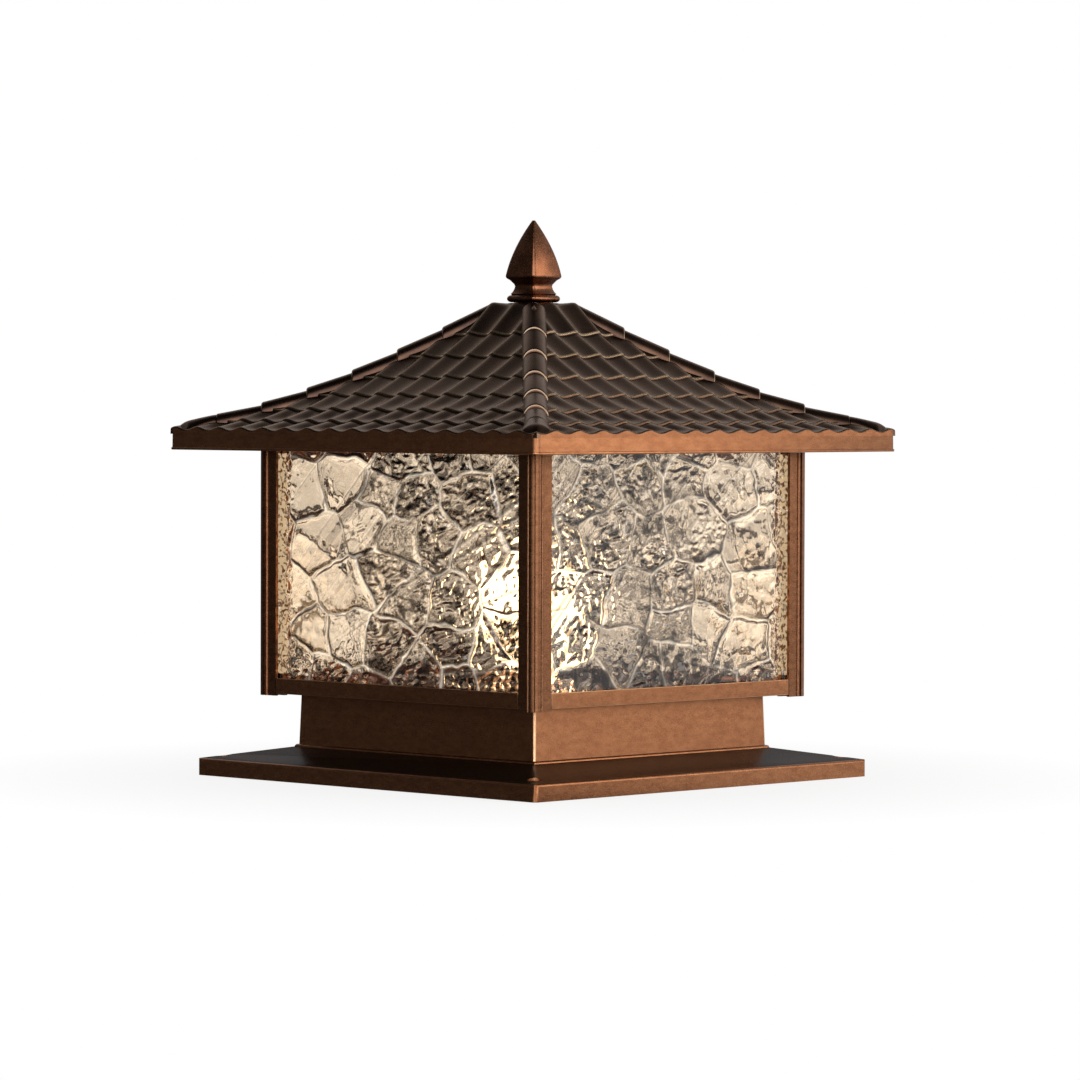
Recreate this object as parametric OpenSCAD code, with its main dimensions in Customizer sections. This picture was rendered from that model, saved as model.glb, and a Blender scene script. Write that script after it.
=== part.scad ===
// Pillar light with a tiled hip roof, stone pattern glass and a cast base that bolts to a gate pillar.
// Millimetres, +Z up. The origin is the centre of the underside of the base plate.

/* [Base] */
// Width of the square base plate
base_w = 276; // [262:1:290]
// Height of the plain rim of the base plate
base_rim_h = 10; // [8:0.5:14]
// Rise of the plate top from its rim to the foot of the plinth
base_rise = 7; // [4:0.5:9]
// Radius of the rounded top edge of the rim
base_edge_r = 1.5; // [0.8:0.1:2.5]
// Radius of the plate corners seen from above
base_corner_r = 2.5; // [1:0.5:5]
// Overhang of the lantern body past the top of the plinth
body_overhang = 17.5; // [16:0.1:19]
// Batter of the plinth, from its top out to its foot
plinth_batter = 0.9; // [0:0.1:1.5]
// Height of the plinth above the plate
plinth_h = 29.8; // [24:0.2:40]
// Wall thickness of the base casting
base_wall = 3; // [2.5:0.1:4]
// Width of the inner ledge at the top of the plinth
ledge_w = 20; // [18:0.5:22]
// Diameter of the four fixing holes
fix_hole_d = 8.5; // [6.5:0.5:10]
// Distance of the fixing holes from the plate edges
fix_inset = 11; // [10:0.5:14]

/* [Body] */
// Width of the lantern body over its corner posts
body_w = 226; // [220:1:232]
// Leg of each corner post, as seen on one side of the body
post_leg = 14; // [13:0.5:17]
// Height of the body rail under the glass
rail_h = 9; // [7.5:0.5:13]
// Length that a post runs below the rail
post_drop = 1.2; // [0.6:0.1:1.2]
// Visible height of the glass, from the rail to the eaves
glass_show = 132.5; // [115:0.5:150]
// Thickness of the glass panes
pane_t = 4.5; // [4:0.1:5]
// Depth of the rail faces behind the post faces
rail_recess = 1; // [0.6:0.1:1.2]
// Thickness of the metal lips that hold the glass outside
lip_t = 1.8; // [1.5:0.1:2.2]
// Thickness of the metal lips behind the glass
inner_lip_t = 2.4; // [1.8:0.1:2.8]
// Depth of glass edge held in each post
pane_bite = 4; // [3:0.1:4.2]
// Thickness of the floor of the body tray
floor_t = 3; // [2.5:0.1:4]
// Thickness of the gasket between plinth and tray
plinth_gasket_t = 1.2; // [1.2:0.1:2]
// Thickness of the rubber strips under the panes
strip_t = 1; // [0.6:0.1:1.4]
// Radius of the rounded nose on each post corner
nose_r = 4.4; // [3:0.1:4.6]
// Radius of the slim bead beside the nose
bead_r = 1; // [0.7:0.1:1.2]

/* [Top frame] */
// Thickness of the frame across the post tops
frame_t = 3; // [2.5:0.1:4]
// Width of the frame from its outer edge inwards
frame_w = 20.5; // [18:0.5:24]
// Height of the guide lips that hold the top of the glass
guide_h = 2.5; // [2:0.1:3.5]
// Thickness of the foam gasket under the roof
roof_gasket_t = 2; // [1.5:0.1:3]
// Width of the foam gasket
roof_gasket_w = 6; // [5:0.5:7]
// Thickness of the steel crossbar
bar_t = 3; // [2:0.5:4]
// Width of the steel crossbar
bar_w = 25; // [22:1:32]
// Diameter of the threaded stud that holds the roof
stud_d = 6; // [5:0.5:8]

/* [Roof] */
// Width of the square roof over its eaves
roof_w = 300; // [292:1:320]
// Height of the plain band round the eaves
fascia_h = 10.2; // [8:0.1:13]
// Inward lean of the eaves band from its foot to its top
fascia_lean = 1; // [0.4:0.1:1.6]
// Radius of the eaves corners seen from above
fascia_corner_r = 4; // [2:0.5:6]
// Rise over run of the roof at its eaves
eave_slope = 0.22; // [0.18:0.01:0.28]
// Rise over run of the upper roof
roof_slope = 0.69; // [0.6:0.01:0.75]
// Rise over run of the top row of tiles
crown_slope = 0.95; // [0.8:0.01:1.05]
// Run over which the roof sweeps from the low slope to the steep one
sweep_run = 90; // [75:1:105]
// Half width of the flat crown under the finial
crown_half = 19; // [18:0.5:21]
// Wall thickness of the roof casting
roof_wall = 3; // [2.6:0.1:3.6]
// Rows of tiles from the eaves to the crown
tile_rows = 7; // [6:1:8]
// Columns of tiles across the eaves
tile_columns = 16; // [14:2:18]
// Height of the lower lip of a tile over the tile below it
tile_lip = 1.5; // [1:0.1:2]
// Height of the roll of a tile over its pan
tile_wave = 2; // [1.2:0.1:2.4]
// Radius of the round ridge tiles
ridge_r = 7.3; // [6.5:0.1:8]
// Height of a ridge tile over the hip line at its lower end
ridge_proud = 5.4; // [5:0.1:6]
// Step from one ridge tile down to the next
ridge_step = 2; // [1.2:0.1:2.4]

/* [Finial] */
// Height of the finial over the crown
finial_h = 47.6; // [44:0.2:54]
// Width across the flats of the widest part of the finial
finial_w = 24.2; // [22:0.2:27]
// Width across the flats of the finial neck
finial_neck_w = 16; // [14.4:0.2:18]
// Width across the flats of the collar of the finial
finial_collar_w = 23; // [21:0.2:26]
// Length of stud above the crown
stud_reach = 24; // [18:0.5:28]

/* [Lamp] */
// Depth of the lamp well below the tray floor
well_depth = 40; // [36:0.5:42]
// Inner radius of the lamp well
well_r = 29.8; // [28.8:0.1:31]
// Sheet thickness of the lamp well
well_t = 1.2; // [1:0.1:1.5]
// Height of the lampholder
holder_h = 42; // [40:0.5:46]
// Outer radius of the lampholder
holder_r = 19.5; // [18.5:0.1:20.5]
// Depth of the lampholder mouth down to the lamp contact
holder_mouth = 27; // [25.5:0.1:28]
// Radius of the bulb cap
cap_r = 13.2; // [12.8:0.1:13.4]
// Radius of the bulb globe
globe_r = 30; // [25:0.5:32.5]
// Overall length of the bulb
bulb_h = 105; // [98:0.5:112]

/* [Hidden] */

bronze = [0.42, 0.26, 0.19];
dark_bronze = [0.24, 0.17, 0.15];
bronze_light = [0.58, 0.36, 0.26];
steel = [0.72, 0.72, 0.74];
rubber_grey = [0.15, 0.15, 0.15];
ceramic_white = [0.93, 0.92, 0.88];
brass = [0.83, 0.67, 0.32];
glass_tint = [0.86, 0.85, 0.78, 0.6];

// Smoothness of true curves, of arcs inside profiles and of small hull ends
$fn = 64;
arc_steps = 5;
ridge_fn = 18;
// Gap between bodies that move apart, gap between fixed neighbours, gap of a thread or a pin
rest_gap = 0.3;
fit_gap = 0.3;
thread_gap = 0.05;
// Overlap that makes one casting of its parts, and reach of a cutting tool past a face
bite = 0.5;
eps = 0.01;

// Base
base_half = base_w / 2;
body_half = body_w / 2;
plinth_half = body_half - body_overhang;
foot_half = plinth_half + plinth_batter;
plate_top_z = base_rim_h + base_rise;
plinth_z = plate_top_z + plinth_h;
foot_bead = 1.5;
ledge_half = plinth_half - base_wall - ledge_w;
ledge_in_half = plinth_half - base_wall;
fix_xy = base_half - fix_inset;
fix_boss_r = fix_hole_d / 2 + 4.5;
rib_t = 3;
rib_foot_z = 2;
// Screws: shank radius, head radius and head height
screw_r = 2;
head_r = 3.8;
head_h = 2.4;
slot_w = 0.9;
tray_boss_r = 6;
tray_boss_h = 8;
tray_screw_len = 14;

// Body
rail_face = body_half - rail_recess;
lip_in = rail_face - lip_t;
pane_seat = 0.2;
pane_out = lip_in - pane_seat;
pane_in = pane_out - pane_t;
inner_lip_out = pane_in - fit_gap;
inner_lip_in = inner_lip_out - inner_lip_t;
post_in = body_half - post_leg;
pane_half = post_in + pane_bite;
block_in = pane_half + fit_gap;
tray_z = plinth_z + plinth_gasket_t;
floor_z = tray_z + floor_t;
rail_z = tray_z + rail_h;
channel_depth = 4.5;
channel_z = rail_z - channel_depth;
pane_z = channel_z + strip_t;
inner_rail_h = 1;
post_z = tray_z - post_drop;
post_gap_edge = post_in - fit_gap;
strip_inset = 3;
strip_half = post_gap_edge - strip_inset;
bead_centre = 6.4;
lug_t = 3;
lug_reach = 13;
lug_in = post_in - lug_reach;
lug_w = inner_lip_in - fit_gap - lug_in;
lug_root_w = inner_lip_in + bite - post_in;
foot_screw_inset = 7;
foot_screw_xy = post_in - foot_screw_inset;
tray_screw_step = 11;
tray_screw_xy = foot_screw_xy - tray_screw_step;
foot_screw_short = 0.4;
foot_screw_len = lug_t + floor_t - foot_screw_short;
gasket_inset = 4;

// Top frame, crossbar and stud
eave_z = rail_z + glass_show;
frame_z = eave_z + guide_h;
frame_top_z = frame_z + frame_t;
frame_half = body_half - 0.5;
frame_in = frame_half - frame_w;
pane_top_z = frame_z - 0.5;
post_top_z = frame_z;
top_screw_xy = (block_in + rail_face) / 2;
sunk_head_h = 1.6;
sunk_clear = 0.2;
top_screw_len = 14;
gasket_out = frame_half - 2.5;
gasket_in = gasket_out - roof_gasket_w;
gasket_top_z = frame_top_z + roof_gasket_t;
bar_half = gasket_in - 3;
bar_screw_x = (frame_in + bar_half) / 2;
bar_screw_y = bar_w / 2 - head_r - 1.7;
bar_screw_len = bar_t + frame_t + 2;
bar_top_z = frame_top_z + bar_t;
stud_r = stud_d / 2;
nut_h = 5;
nut_r = stud_d * 0.96;
stud_foot_z = frame_top_z - nut_h - 2;

// Roof. Distances are measured from the axis square to the eaves
roof_half = roof_w / 2;
tile_half = roof_half - fascia_lean;
tile_z0 = eave_z + fascia_h + 0.2;
row_run = (tile_half - crown_half) / tile_rows;
column_w = 2 * tile_half / tile_columns;
top_row_d = crown_half + row_run;
function sweep_z(d) = let (x = tile_half - d, s = roof_slope - eave_slope)
    x <= sweep_run ? eave_slope * x + s * x * x / (2 * sweep_run)
    : (eave_slope + roof_slope) * sweep_run / 2 + roof_slope * (x - sweep_run);
function roof_z(d) = tile_z0
    + (d >= top_row_d ? sweep_z(d) : sweep_z(top_row_d) + crown_slope * (top_row_d - d));
crown_dome = 2;
crown_z = roof_z(crown_half) + crown_dome;
crown_flat = crown_half - 3;
seat_out = gasket_out - 0.5;
seat_in = gasket_in + 0.5;
seat_z = gasket_top_z + rest_gap;
fascia_lip = 0.6;
fascia_lip_h = 1.4;
stud_hole_r = stud_r + 1;
crown_boss_r = stud_hole_r + 4.5;
crown_boss_h = 7;
crown_boss_z = crown_z - crown_dome - roof_wall - crown_boss_h;
under_steps = 6;
ridge_lap = 2;

// Finial
finial_gap = 0.4;
finial_z = crown_z + finial_gap;
stud_top_z = crown_z + stud_reach;
washer_t = 1.4;
washer_r = 7.2;
washer_seat_r = washer_r + 0.4;
washer_seat_h = rest_gap + washer_t + rest_gap - finial_gap;

// Lamp
well_floor_z = floor_z - well_depth;
well_out = well_r + well_t;
well_hole_r = well_out + fit_gap;
well_flange_r = well_out + 7.5;
well_screw_ring = (well_hole_r + well_flange_r) / 2 + 0.2;
small_screw_r = 1.5;
small_head_r = 2.6;
small_head_h = 1.8;
holder_z = well_floor_z + well_t;
holder_top_z = holder_z + holder_h;
contact_z = holder_top_z - holder_mouth;
shell_in = cap_r + rest_gap;
shell_t = 0.8;
shell_foot_z = contact_z + 3.5;
shell_top_z = holder_top_z - 3;
cavity_r = shell_in + shell_t + 0.2;
cavity_low_r = shell_in - 1.2;
cavity_floor_z = contact_z - 2.5;
holder_step = 1.2;
holder_lip_r = holder_r - holder_step;
holder_step_z = holder_top_z - 13;
holder_foot = 2;
holder_screw_y = 12;
holder_hole_h = 8;
ear_in = holder_r - 1.5;
ear_out = holder_r + 8.5;
ear_w = 9;
ear_h = 8;
ear_z = holder_z + 13;
ear_hole_r = 1.4;
ear_hole_y = 2.2;
ear_hole_h = 3;
lead_r = 1.5;
lead_bend = 6;
lead_x = (holder_r + well_r) / 2;
grommet_hole_r = 3.2;
grommet_flange_r = 4.4;
grommet_flange_h = 1.2;
// Terminal block with three ways, between the flange of the well and the ledge of the plinth
block_l = 20;
block_w = 30;
block_h = 15;
block_x = well_flange_r + 1;
block_z = tray_z - block_h;
way_pitch = 6;
way_w = 3.6;
way_h = 10;
way_in = 3;
way_hole_r = 1.6;
way_hole_h = 6;
lead_end_x = block_x + 6;
lead_run_z = well_floor_z - lead_bend - grommet_flange_h;
earth_inset_x = 17.5;
earth_inset_y = 32.5;
earth_x = earth_inset_x - ledge_half;
earth_y = ledge_half - earth_inset_y;
lug_eye_r = 4.6;
lug_eye_t = 1;

// Bulb
cap_wall = 0.5;
cap_thread = 0.45;
cap_bare_r = cap_r - cap_thread;
cap_in_r = cap_bare_r - cap_wall;
cap_ring_r = cap_r - 4.2;
button_r = cap_ring_r - 4.4;
cap_foot_z = contact_z + 2.5;
cap_h = 23.5;
cap_top_z = cap_foot_z + cap_h;
neck_r = cap_in_r - 0.1;
globe_t = 0.8;
bulb_top_z = contact_z + bulb_h;
globe_z = bulb_top_z - globe_r;
globe_foot_z = cap_top_z - 3;
stem_foot_r = neck_r - globe_t - 0.6;
stem_r = 3;
rod_r = 1;
stem_top_z = globe_z - 20;
filament_n = 4;
filament_r = 0.9;
filament_low_r = 5;
filament_high_r = 9;
carrier_t = 0.8;
carrier_rim = 1.5;
filament_low_z = stem_top_z + carrier_t;
filament_high_z = globe_z + 16;

// Solid whose section is square at every height: walls is a list of [half width, height] going up
module square_turn(walls) {
    outline = concat(walls, [for (i = [len(walls) - 1:-1:0]) [-walls[i][0], walls[i][1]]]);
    reach = 2 * max([for (w = walls) w[0]]) + 2;
    intersection() {
        rotate([90, 0, 0]) linear_extrude(reach, center = true) polygon(outline);
        rotate([90, 0, 90]) linear_extrude(reach, center = true) polygon(outline);
    }
}

// Flat square ring
module square_ring(outer, inner, h) {
    linear_extrude(h) difference() {
        square(2 * outer, center = true);
        square(2 * inner, center = true);
    }
}

// Square plate with round corners
module round_square(half, r, h) {
    linear_extrude(h) {
        square([2 * half, 2 * (half - r)], center = true);
        square([2 * (half - r), 2 * half], center = true);
        for (x = [-1, 1], y = [-1, 1]) translate([x * (half - r), y * (half - r)]) circle(r);
    }
}

module on_sides() {
    for (a = [0:90:270]) rotate([0, 0, a]) children();
}

module on_corners(xy) {
    for (x = [-1, 1], y = [-1, 1]) translate([x * xy, y * xy, 0]) children();
}

// Pan head screw whose head stands on z = 0
module pan_screw(r, len, top_r, top_h) {
    translate([0, 0, -len]) cylinder(r = r, h = len + eps);
    difference() {
        cylinder(r = top_r, h = top_h);
        translate([0, 0, top_h - slot_w]) for (a = [0, 90]) rotate([0, 0, a])
            translate([-top_r * 0.6, -slot_w / 2, 0]) cube([top_r * 1.2, slot_w, 2 * slot_w]);
    }
}

// Base casting
function plate_top(d) = base_rim_h + base_rise * (base_half - base_edge_r - d)
    / (base_half - base_edge_r - foot_half);

module base_outside() {
    rim = [for (i = [0:arc_steps]) let (a = 90 * i / arc_steps)
        [base_half - base_edge_r * (1 - cos(a)), base_rim_h - base_edge_r * (1 - sin(a))]];
    bead = [for (i = [0:arc_steps]) let (a = 90 * i / arc_steps)
        [foot_half + foot_bead * cos(a), plate_top(foot_half + foot_bead) + foot_bead * sin(a)]];
    intersection() {
        square_turn(concat([[base_half, 0]], rim, bead, [[plinth_half, plinth_z]]));
        round_square(base_half, base_corner_r, plinth_z + 1);
    }
}

module base_casting() {
    inner_foot = foot_half - base_wall;
    inner_rim = base_half - base_wall;
    color(bronze) difference() {
        union() {
            difference() {
                base_outside();
                square_turn([[inner_rim, -1], [inner_rim, plate_top(inner_rim) - base_wall],
                    [inner_foot, plate_top(inner_foot) - base_wall], [ledge_in_half, plinth_z - base_wall]]);
            }
            on_corners(tray_screw_xy) translate([0, 0, plinth_z - base_wall - tray_boss_h])
                cylinder(r = tray_boss_r, h = tray_boss_h + bite);
            intersection() {
                base_outside();
                union() {
                    on_corners(fix_xy) cylinder(r = fix_boss_r, h = plate_top_z);
                    for (a = [45:90:315]) rotate([0, 0, a])
                        translate([(foot_half - 2 * base_wall) * sqrt(2), -rib_t / 2, rib_foot_z])
                            cube([(fix_xy - foot_half + 2 * base_wall) * sqrt(2) - fix_boss_r / 2, rib_t,
                                plate_top_z]);
                }
            }
        }
        on_corners(fix_xy) translate([0, 0, -1]) cylinder(d = fix_hole_d, h = plate_top_z + 2);
        on_corners(tray_screw_xy) translate([0, 0, plinth_z - base_wall - tray_boss_h - 1])
            cylinder(r = screw_r + thread_gap, h = tray_boss_h + base_wall + 2);
        translate([-ledge_half, -ledge_half, plinth_z - base_wall - 1])
            cube([2 * ledge_half, 2 * ledge_half, base_wall + 2]);
    }
}

module plinth_gasket() {
    color(rubber_grey) translate([0, 0, plinth_z]) difference() {
        square_ring(plinth_half - gasket_inset, ledge_half + 1, plinth_gasket_t);
        on_corners(tray_screw_xy) translate([0, 0, -1])
            cylinder(r = screw_r + thread_gap, h = plinth_gasket_t + 2);
    }
}

// Body tray: floor, rails and the channel that takes the foot of the glass
module body_tray() {
    color(bronze) translate([0, 0, tray_z]) difference() {
        translate([-rail_face, -rail_face, 0]) cube([2 * rail_face, 2 * rail_face, rail_h]);
        translate([-inner_lip_in, -inner_lip_in, floor_t])
            cube([2 * inner_lip_in, 2 * inner_lip_in, rail_h]);
        translate([0, 0, channel_z - tray_z]) square_ring(lip_in, inner_lip_out, rail_h);
        translate([0, 0, rail_h - inner_rail_h]) square_ring(lip_in, inner_lip_in - 1, rail_h);
        on_corners((post_gap_edge + body_half) / 2)
            translate([0, 0, rail_h / 2]) cube([body_half - post_gap_edge, body_half - post_gap_edge,
                rail_h + 2], center = true);
        on_corners(tray_screw_xy) translate([0, 0, -1]) cylinder(r = screw_r + thread_gap, h = floor_t + 2);
        on_corners(foot_screw_xy) translate([0, 0, floor_t + lug_t - foot_screw_len])
            cylinder(r = screw_r + thread_gap, h = floor_t + 2);
        translate([0, 0, -1]) cylinder(r = well_hole_r, h = floor_t + 2);
        well_screw_places() translate([0, 0, -1])
            cylinder(r = small_screw_r + thread_gap, h = floor_t + 2);
        block_screw_places() translate([0, 0, -1])
            cylinder(r = small_screw_r + thread_gap, h = floor_t + 2);
        translate([earth_x, earth_y, -1]) cylinder(r = screw_r + thread_gap, h = floor_t + 2);
    }
}

module tray_screws() {
    color(steel) on_corners(tray_screw_xy) translate([0, 0, floor_z])
        pan_screw(screw_r, tray_screw_len, head_r, head_h);
}

// Section of a corner post in the quarter where x and y are positive
module post_section() {
    nose_w = nose_r + 0.2;
    difference() {
        translate([body_half - nose_w, body_half - nose_w]) square(nose_w);
        translate([body_half - nose_r, body_half - nose_r]) difference() {
            square(nose_r + 1);
            circle(nose_r);
        }
    }
    translate([block_in, block_in]) square(rail_face - block_in);
    for (m = [0, 1]) mirror([m, -m]) {
        translate([post_in, lip_in]) square([block_in - post_in + bite, lip_t]);
        translate([post_in, inner_lip_in]) square([inner_lip_out - post_in, inner_lip_t]);
        translate([body_half - bead_centre, body_half - bead_r]) circle(bead_r);
    }
}

module corner_post() {
    color(bronze_light) difference() {
        union() {
            translate([0, 0, post_z]) linear_extrude(post_top_z - post_z) post_section();
            translate([lug_in, lug_in, floor_z]) cube([lug_w, lug_w, lug_t]);
            translate([post_in, post_in, floor_z]) cube([lug_root_w, lug_root_w, lug_t]);
        }
        translate([foot_screw_xy, foot_screw_xy, floor_z - 1])
            cylinder(r = screw_r + thread_gap, h = lug_t + 2);
        translate([top_screw_xy, top_screw_xy, post_top_z - top_screw_len])
            cylinder(r = screw_r + thread_gap, h = top_screw_len + 1);
    }
}

module corner_post_front_right() { rotate([0, 0, -90]) corner_post(); }
module corner_post_back_right() { corner_post(); }
module corner_post_back_left() { rotate([0, 0, 90]) corner_post(); }
module corner_post_front_left() { rotate([0, 0, 180]) corner_post(); }

module post_foot_screws() {
    color(steel) on_corners(foot_screw_xy) translate([0, 0, floor_z + lug_t])
        pan_screw(screw_r, foot_screw_len, head_r, head_h);
}

// Glass pane of the front, turned to the other sides
module glass_pane() {
    color(glass_tint) translate([-pane_half, -pane_out, pane_z])
        cube([2 * pane_half, pane_t, pane_top_z - pane_z]);
}

module glass_front() { glass_pane(); }
module glass_right() { rotate([0, 0, 90]) glass_pane(); }
module glass_back() { rotate([0, 0, 180]) glass_pane(); }
module glass_left() { rotate([0, 0, 270]) glass_pane(); }

module setting_strips() {
    color(rubber_grey) on_sides() translate([-strip_half, -pane_out, channel_z])
        cube([2 * strip_half, pane_t, strip_t]);
}

// Top frame with the lips that guide the glass
module top_frame() {
    color(bronze) difference() {
        union() {
            translate([0, 0, frame_z]) square_ring(frame_half, frame_in, frame_t);
            on_sides() {
                translate([-post_gap_edge, -rail_face, eave_z])
                    cube([2 * post_gap_edge, lip_t, guide_h + bite]);
                translate([-post_gap_edge, -inner_lip_out, eave_z])
                    cube([2 * post_gap_edge, inner_lip_t, guide_h + bite]);
            }
        }
        on_corners(top_screw_xy) {
            translate([0, 0, frame_z - 1]) cylinder(r = screw_r + thread_gap, h = frame_t + 2);
            translate([0, 0, frame_top_z - sunk_head_h - sunk_clear])
                cylinder(r = head_r + 0.1, h = frame_t);
        }
        bar_screw_places() translate([0, 0, frame_z - 1])
            cylinder(r = screw_r + thread_gap, h = frame_t + 2);
    }
}

module top_frame_screws() {
    color(steel) on_corners(top_screw_xy) translate([0, 0, frame_top_z - sunk_head_h - sunk_clear])
        pan_screw(screw_r, top_screw_len - frame_t, head_r - 0.2, sunk_head_h);
}

module bar_screw_places() {
    for (x = [-1, 1], y = [-1, 1]) translate([x * bar_screw_x, y * bar_screw_y, 0]) children();
}

module crossbar() {
    color(steel) difference() {
        translate([-bar_half, -bar_w / 2, frame_top_z]) cube([2 * bar_half, bar_w, bar_t]);
        translate([0, 0, frame_top_z - 1]) cylinder(r = stud_r + thread_gap, h = bar_t + 2);
        bar_screw_places() translate([0, 0, frame_top_z - 1])
            cylinder(r = screw_r + thread_gap, h = bar_t + 2);
    }
}

module crossbar_screws() {
    color(steel) bar_screw_places() translate([0, 0, bar_top_z])
        pan_screw(screw_r, bar_screw_len, head_r, head_h);
}

module roof_stud() {
    color(steel) translate([0, 0, stud_foot_z]) cylinder(r = stud_r, h = stud_top_z - stud_foot_z);
}

module stud_nuts() {
    color(steel) for (z = [frame_top_z - nut_h, bar_top_z]) translate([0, 0, z]) difference() {
        cylinder(r = nut_r, h = nut_h, $fn = 6);
        translate([0, 0, -1]) cylinder(r = stud_r + thread_gap, h = nut_h + 2);
    }
}

module roof_gasket() {
    color(rubber_grey) translate([0, 0, frame_top_z]) square_ring(gasket_out, gasket_in, roof_gasket_t);
}

// Height of the tile wave across one column: a broad tile that climbs to its roll and drops sharply
wave_shape = [[0, 0.12], [0.1, 0], [0.5, 0.5], [0.84, 1]];
wave_x = concat([for (c = [-tile_columns / 2:tile_columns / 2 - 1], w = wave_shape)
    [(c + w[0]) * column_w, w[1]]], [[tile_half, wave_shape[0][1]]]);

// Rows of the tile field: each course starts with its lip and runs up to the foot of the next lip
tile_levels = [for (k = [0:tile_rows - 1], end = [0, 1])
    let (d = tile_half - (k + end) * row_run) [d, roof_z(d) + (1 - end) * tile_lip]];

// One side of the tile field, cut to its quarter. The field faces the front
module tile_field() {
    under_z = eave_z + fascia_h / 2;
    columns = len(wave_x);
    rows = len(tile_levels);
    top = [for (t = tile_levels, w = wave_x) [w[0], -t[0], t[1] + tile_wave * w[1]]];
    under = [for (t = tile_levels, w = wave_x) [w[0], -t[0], under_z]];
    size = columns * rows;
    quads = [for (r = [0:rows - 2], c = [0:columns - 2]) let (i = r * columns + c)
        each [[i, i + columns, i + columns + 1, i + 1],
            [size + i, size + i + 1, size + i + columns + 1, size + i + columns]]];
    edge = concat([for (c = [0:columns - 1]) c], [for (r = [1:rows - 1]) r * columns + columns - 1],
        [for (c = [columns - 2:-1:0]) (rows - 1) * columns + c], [for (r = [rows - 2:-1:1]) r * columns]);
    sides = [for (i = [0:len(edge) - 1]) let (j = (i + 1) % len(edge))
        [edge[i], edge[j], edge[j] + size, edge[i] + size]];
    intersection() {
        polyhedron(concat(top, under), concat(quads, sides));
        linear_extrude(2 * crown_z) polygon([[0, 0], [-roof_half, -roof_half], [roof_half, -roof_half]]);
    }
}

// Round ridge tile on the hip, from half width d_low up to d_high
module ridge_tile(d_low, d_high) {
    hull() {
        ridge_end(d_low, roof_z(d_low) + ridge_proud);
        ridge_end(d_high, min(roof_z(d_high) + ridge_proud - ridge_step, crown_z - 0.1));
    }
}

// Round end of a ridge tile, whose crest is at top_z
module ridge_end(d, top_z) {
    translate([d * sqrt(2), 0, top_z - ridge_r]) rotate([0, 90, 0])
        cylinder(r = ridge_r, h = 0.4, center = true, $fn = ridge_fn);
}

// Lowest ridge tile, which closes in a blunt nose over the corner of the eaves
module ridge_nose() {
    tip = (roof_half - fascia_corner_r - 2) * sqrt(2);
    nose = ridge_r - 1;
    hull() {
        ridge_end(tile_half - row_run, roof_z(tile_half - row_run) + ridge_proud - 0.4);
        translate([tip - ridge_r * 0.7, 0, tile_z0 + 1]) scale([1, 1, 0.9]) sphere(nose, $fn = ridge_fn);
        translate([tip, 0, eave_z + fascia_h - 2]) sphere(nose * 0.54, $fn = ridge_fn);
    }
}

module fascia() {
    hull() {
        translate([0, 0, eave_z + fascia_lip_h])
            round_square(roof_half - fascia_lip, fascia_corner_r, eps);
        translate([0, 0, eave_z + fascia_h]) round_square(tile_half, fascia_corner_r, eps);
    }
    translate([0, 0, eave_z]) round_square(roof_half, fascia_corner_r + fascia_lip, fascia_lip_h + bite);
}

// Blunt square crown that the finial stands on
module crown() {
    edge = crown_half + bite;
    hull() {
        translate([-edge, -edge, roof_z(edge) - 3 * roof_wall]) cube([2 * edge, 2 * edge, 3 * roof_wall]);
        translate([0, 0, crown_z - eps]) round_square(crown_flat, 2, eps);
    }
}

// Hollow under the roof, which follows the sweep of the tiles
module roof_hollow() {
    in_half = tile_half - roof_wall - 1;
    top_half = crown_half - 4;
    levels = [for (i = [0:under_steps]) let (d = in_half - (in_half - top_row_d) * i / under_steps)
        [d, roof_z(d) - roof_wall]];
    square_turn(concat([[in_half, eave_z - 1]], levels, [[top_half, roof_z(top_half) - roof_wall - 3]]));
}

// Roof casting: tile fields, ridge tiles and eaves band in one hollow casting
module roof_casting() {
    color(dark_bronze) difference() {
        union() {
            difference() {
                union() {
                    for (a = [0:90:270]) rotate([0, 0, a]) mirror([a % 180 == 0 ? 1 : 0, 0, 0]) tile_field();
                    fascia();
                    crown();
                    for (a = [45:90:315]) rotate([0, 0, a]) {
                        for (k = [1:tile_rows - 1]) let (low = tile_half - k * row_run)
                            ridge_tile(low, max(low - row_run - ridge_lap, crown_flat + 1));
                        ridge_nose();
                    }
                }
                roof_hollow();
            }
            intersection() {
                translate([0, 0, seat_z]) square_ring(seat_out, seat_in, roof_z(seat_in) - seat_z);
                square_turn([[seat_out + 1, eave_z], [seat_out + 1, roof_z(seat_out) - 1],
                    [seat_in - 1, roof_z(seat_in) - 1]]);
            }
            translate([0, 0, crown_boss_z]) cylinder(r = crown_boss_r, h = crown_boss_h + crown_dome);
        }
        translate([0, 0, crown_boss_z - 1]) cylinder(r = stud_hole_r, h = crown_z - crown_boss_z + 2);
    }
}

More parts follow.
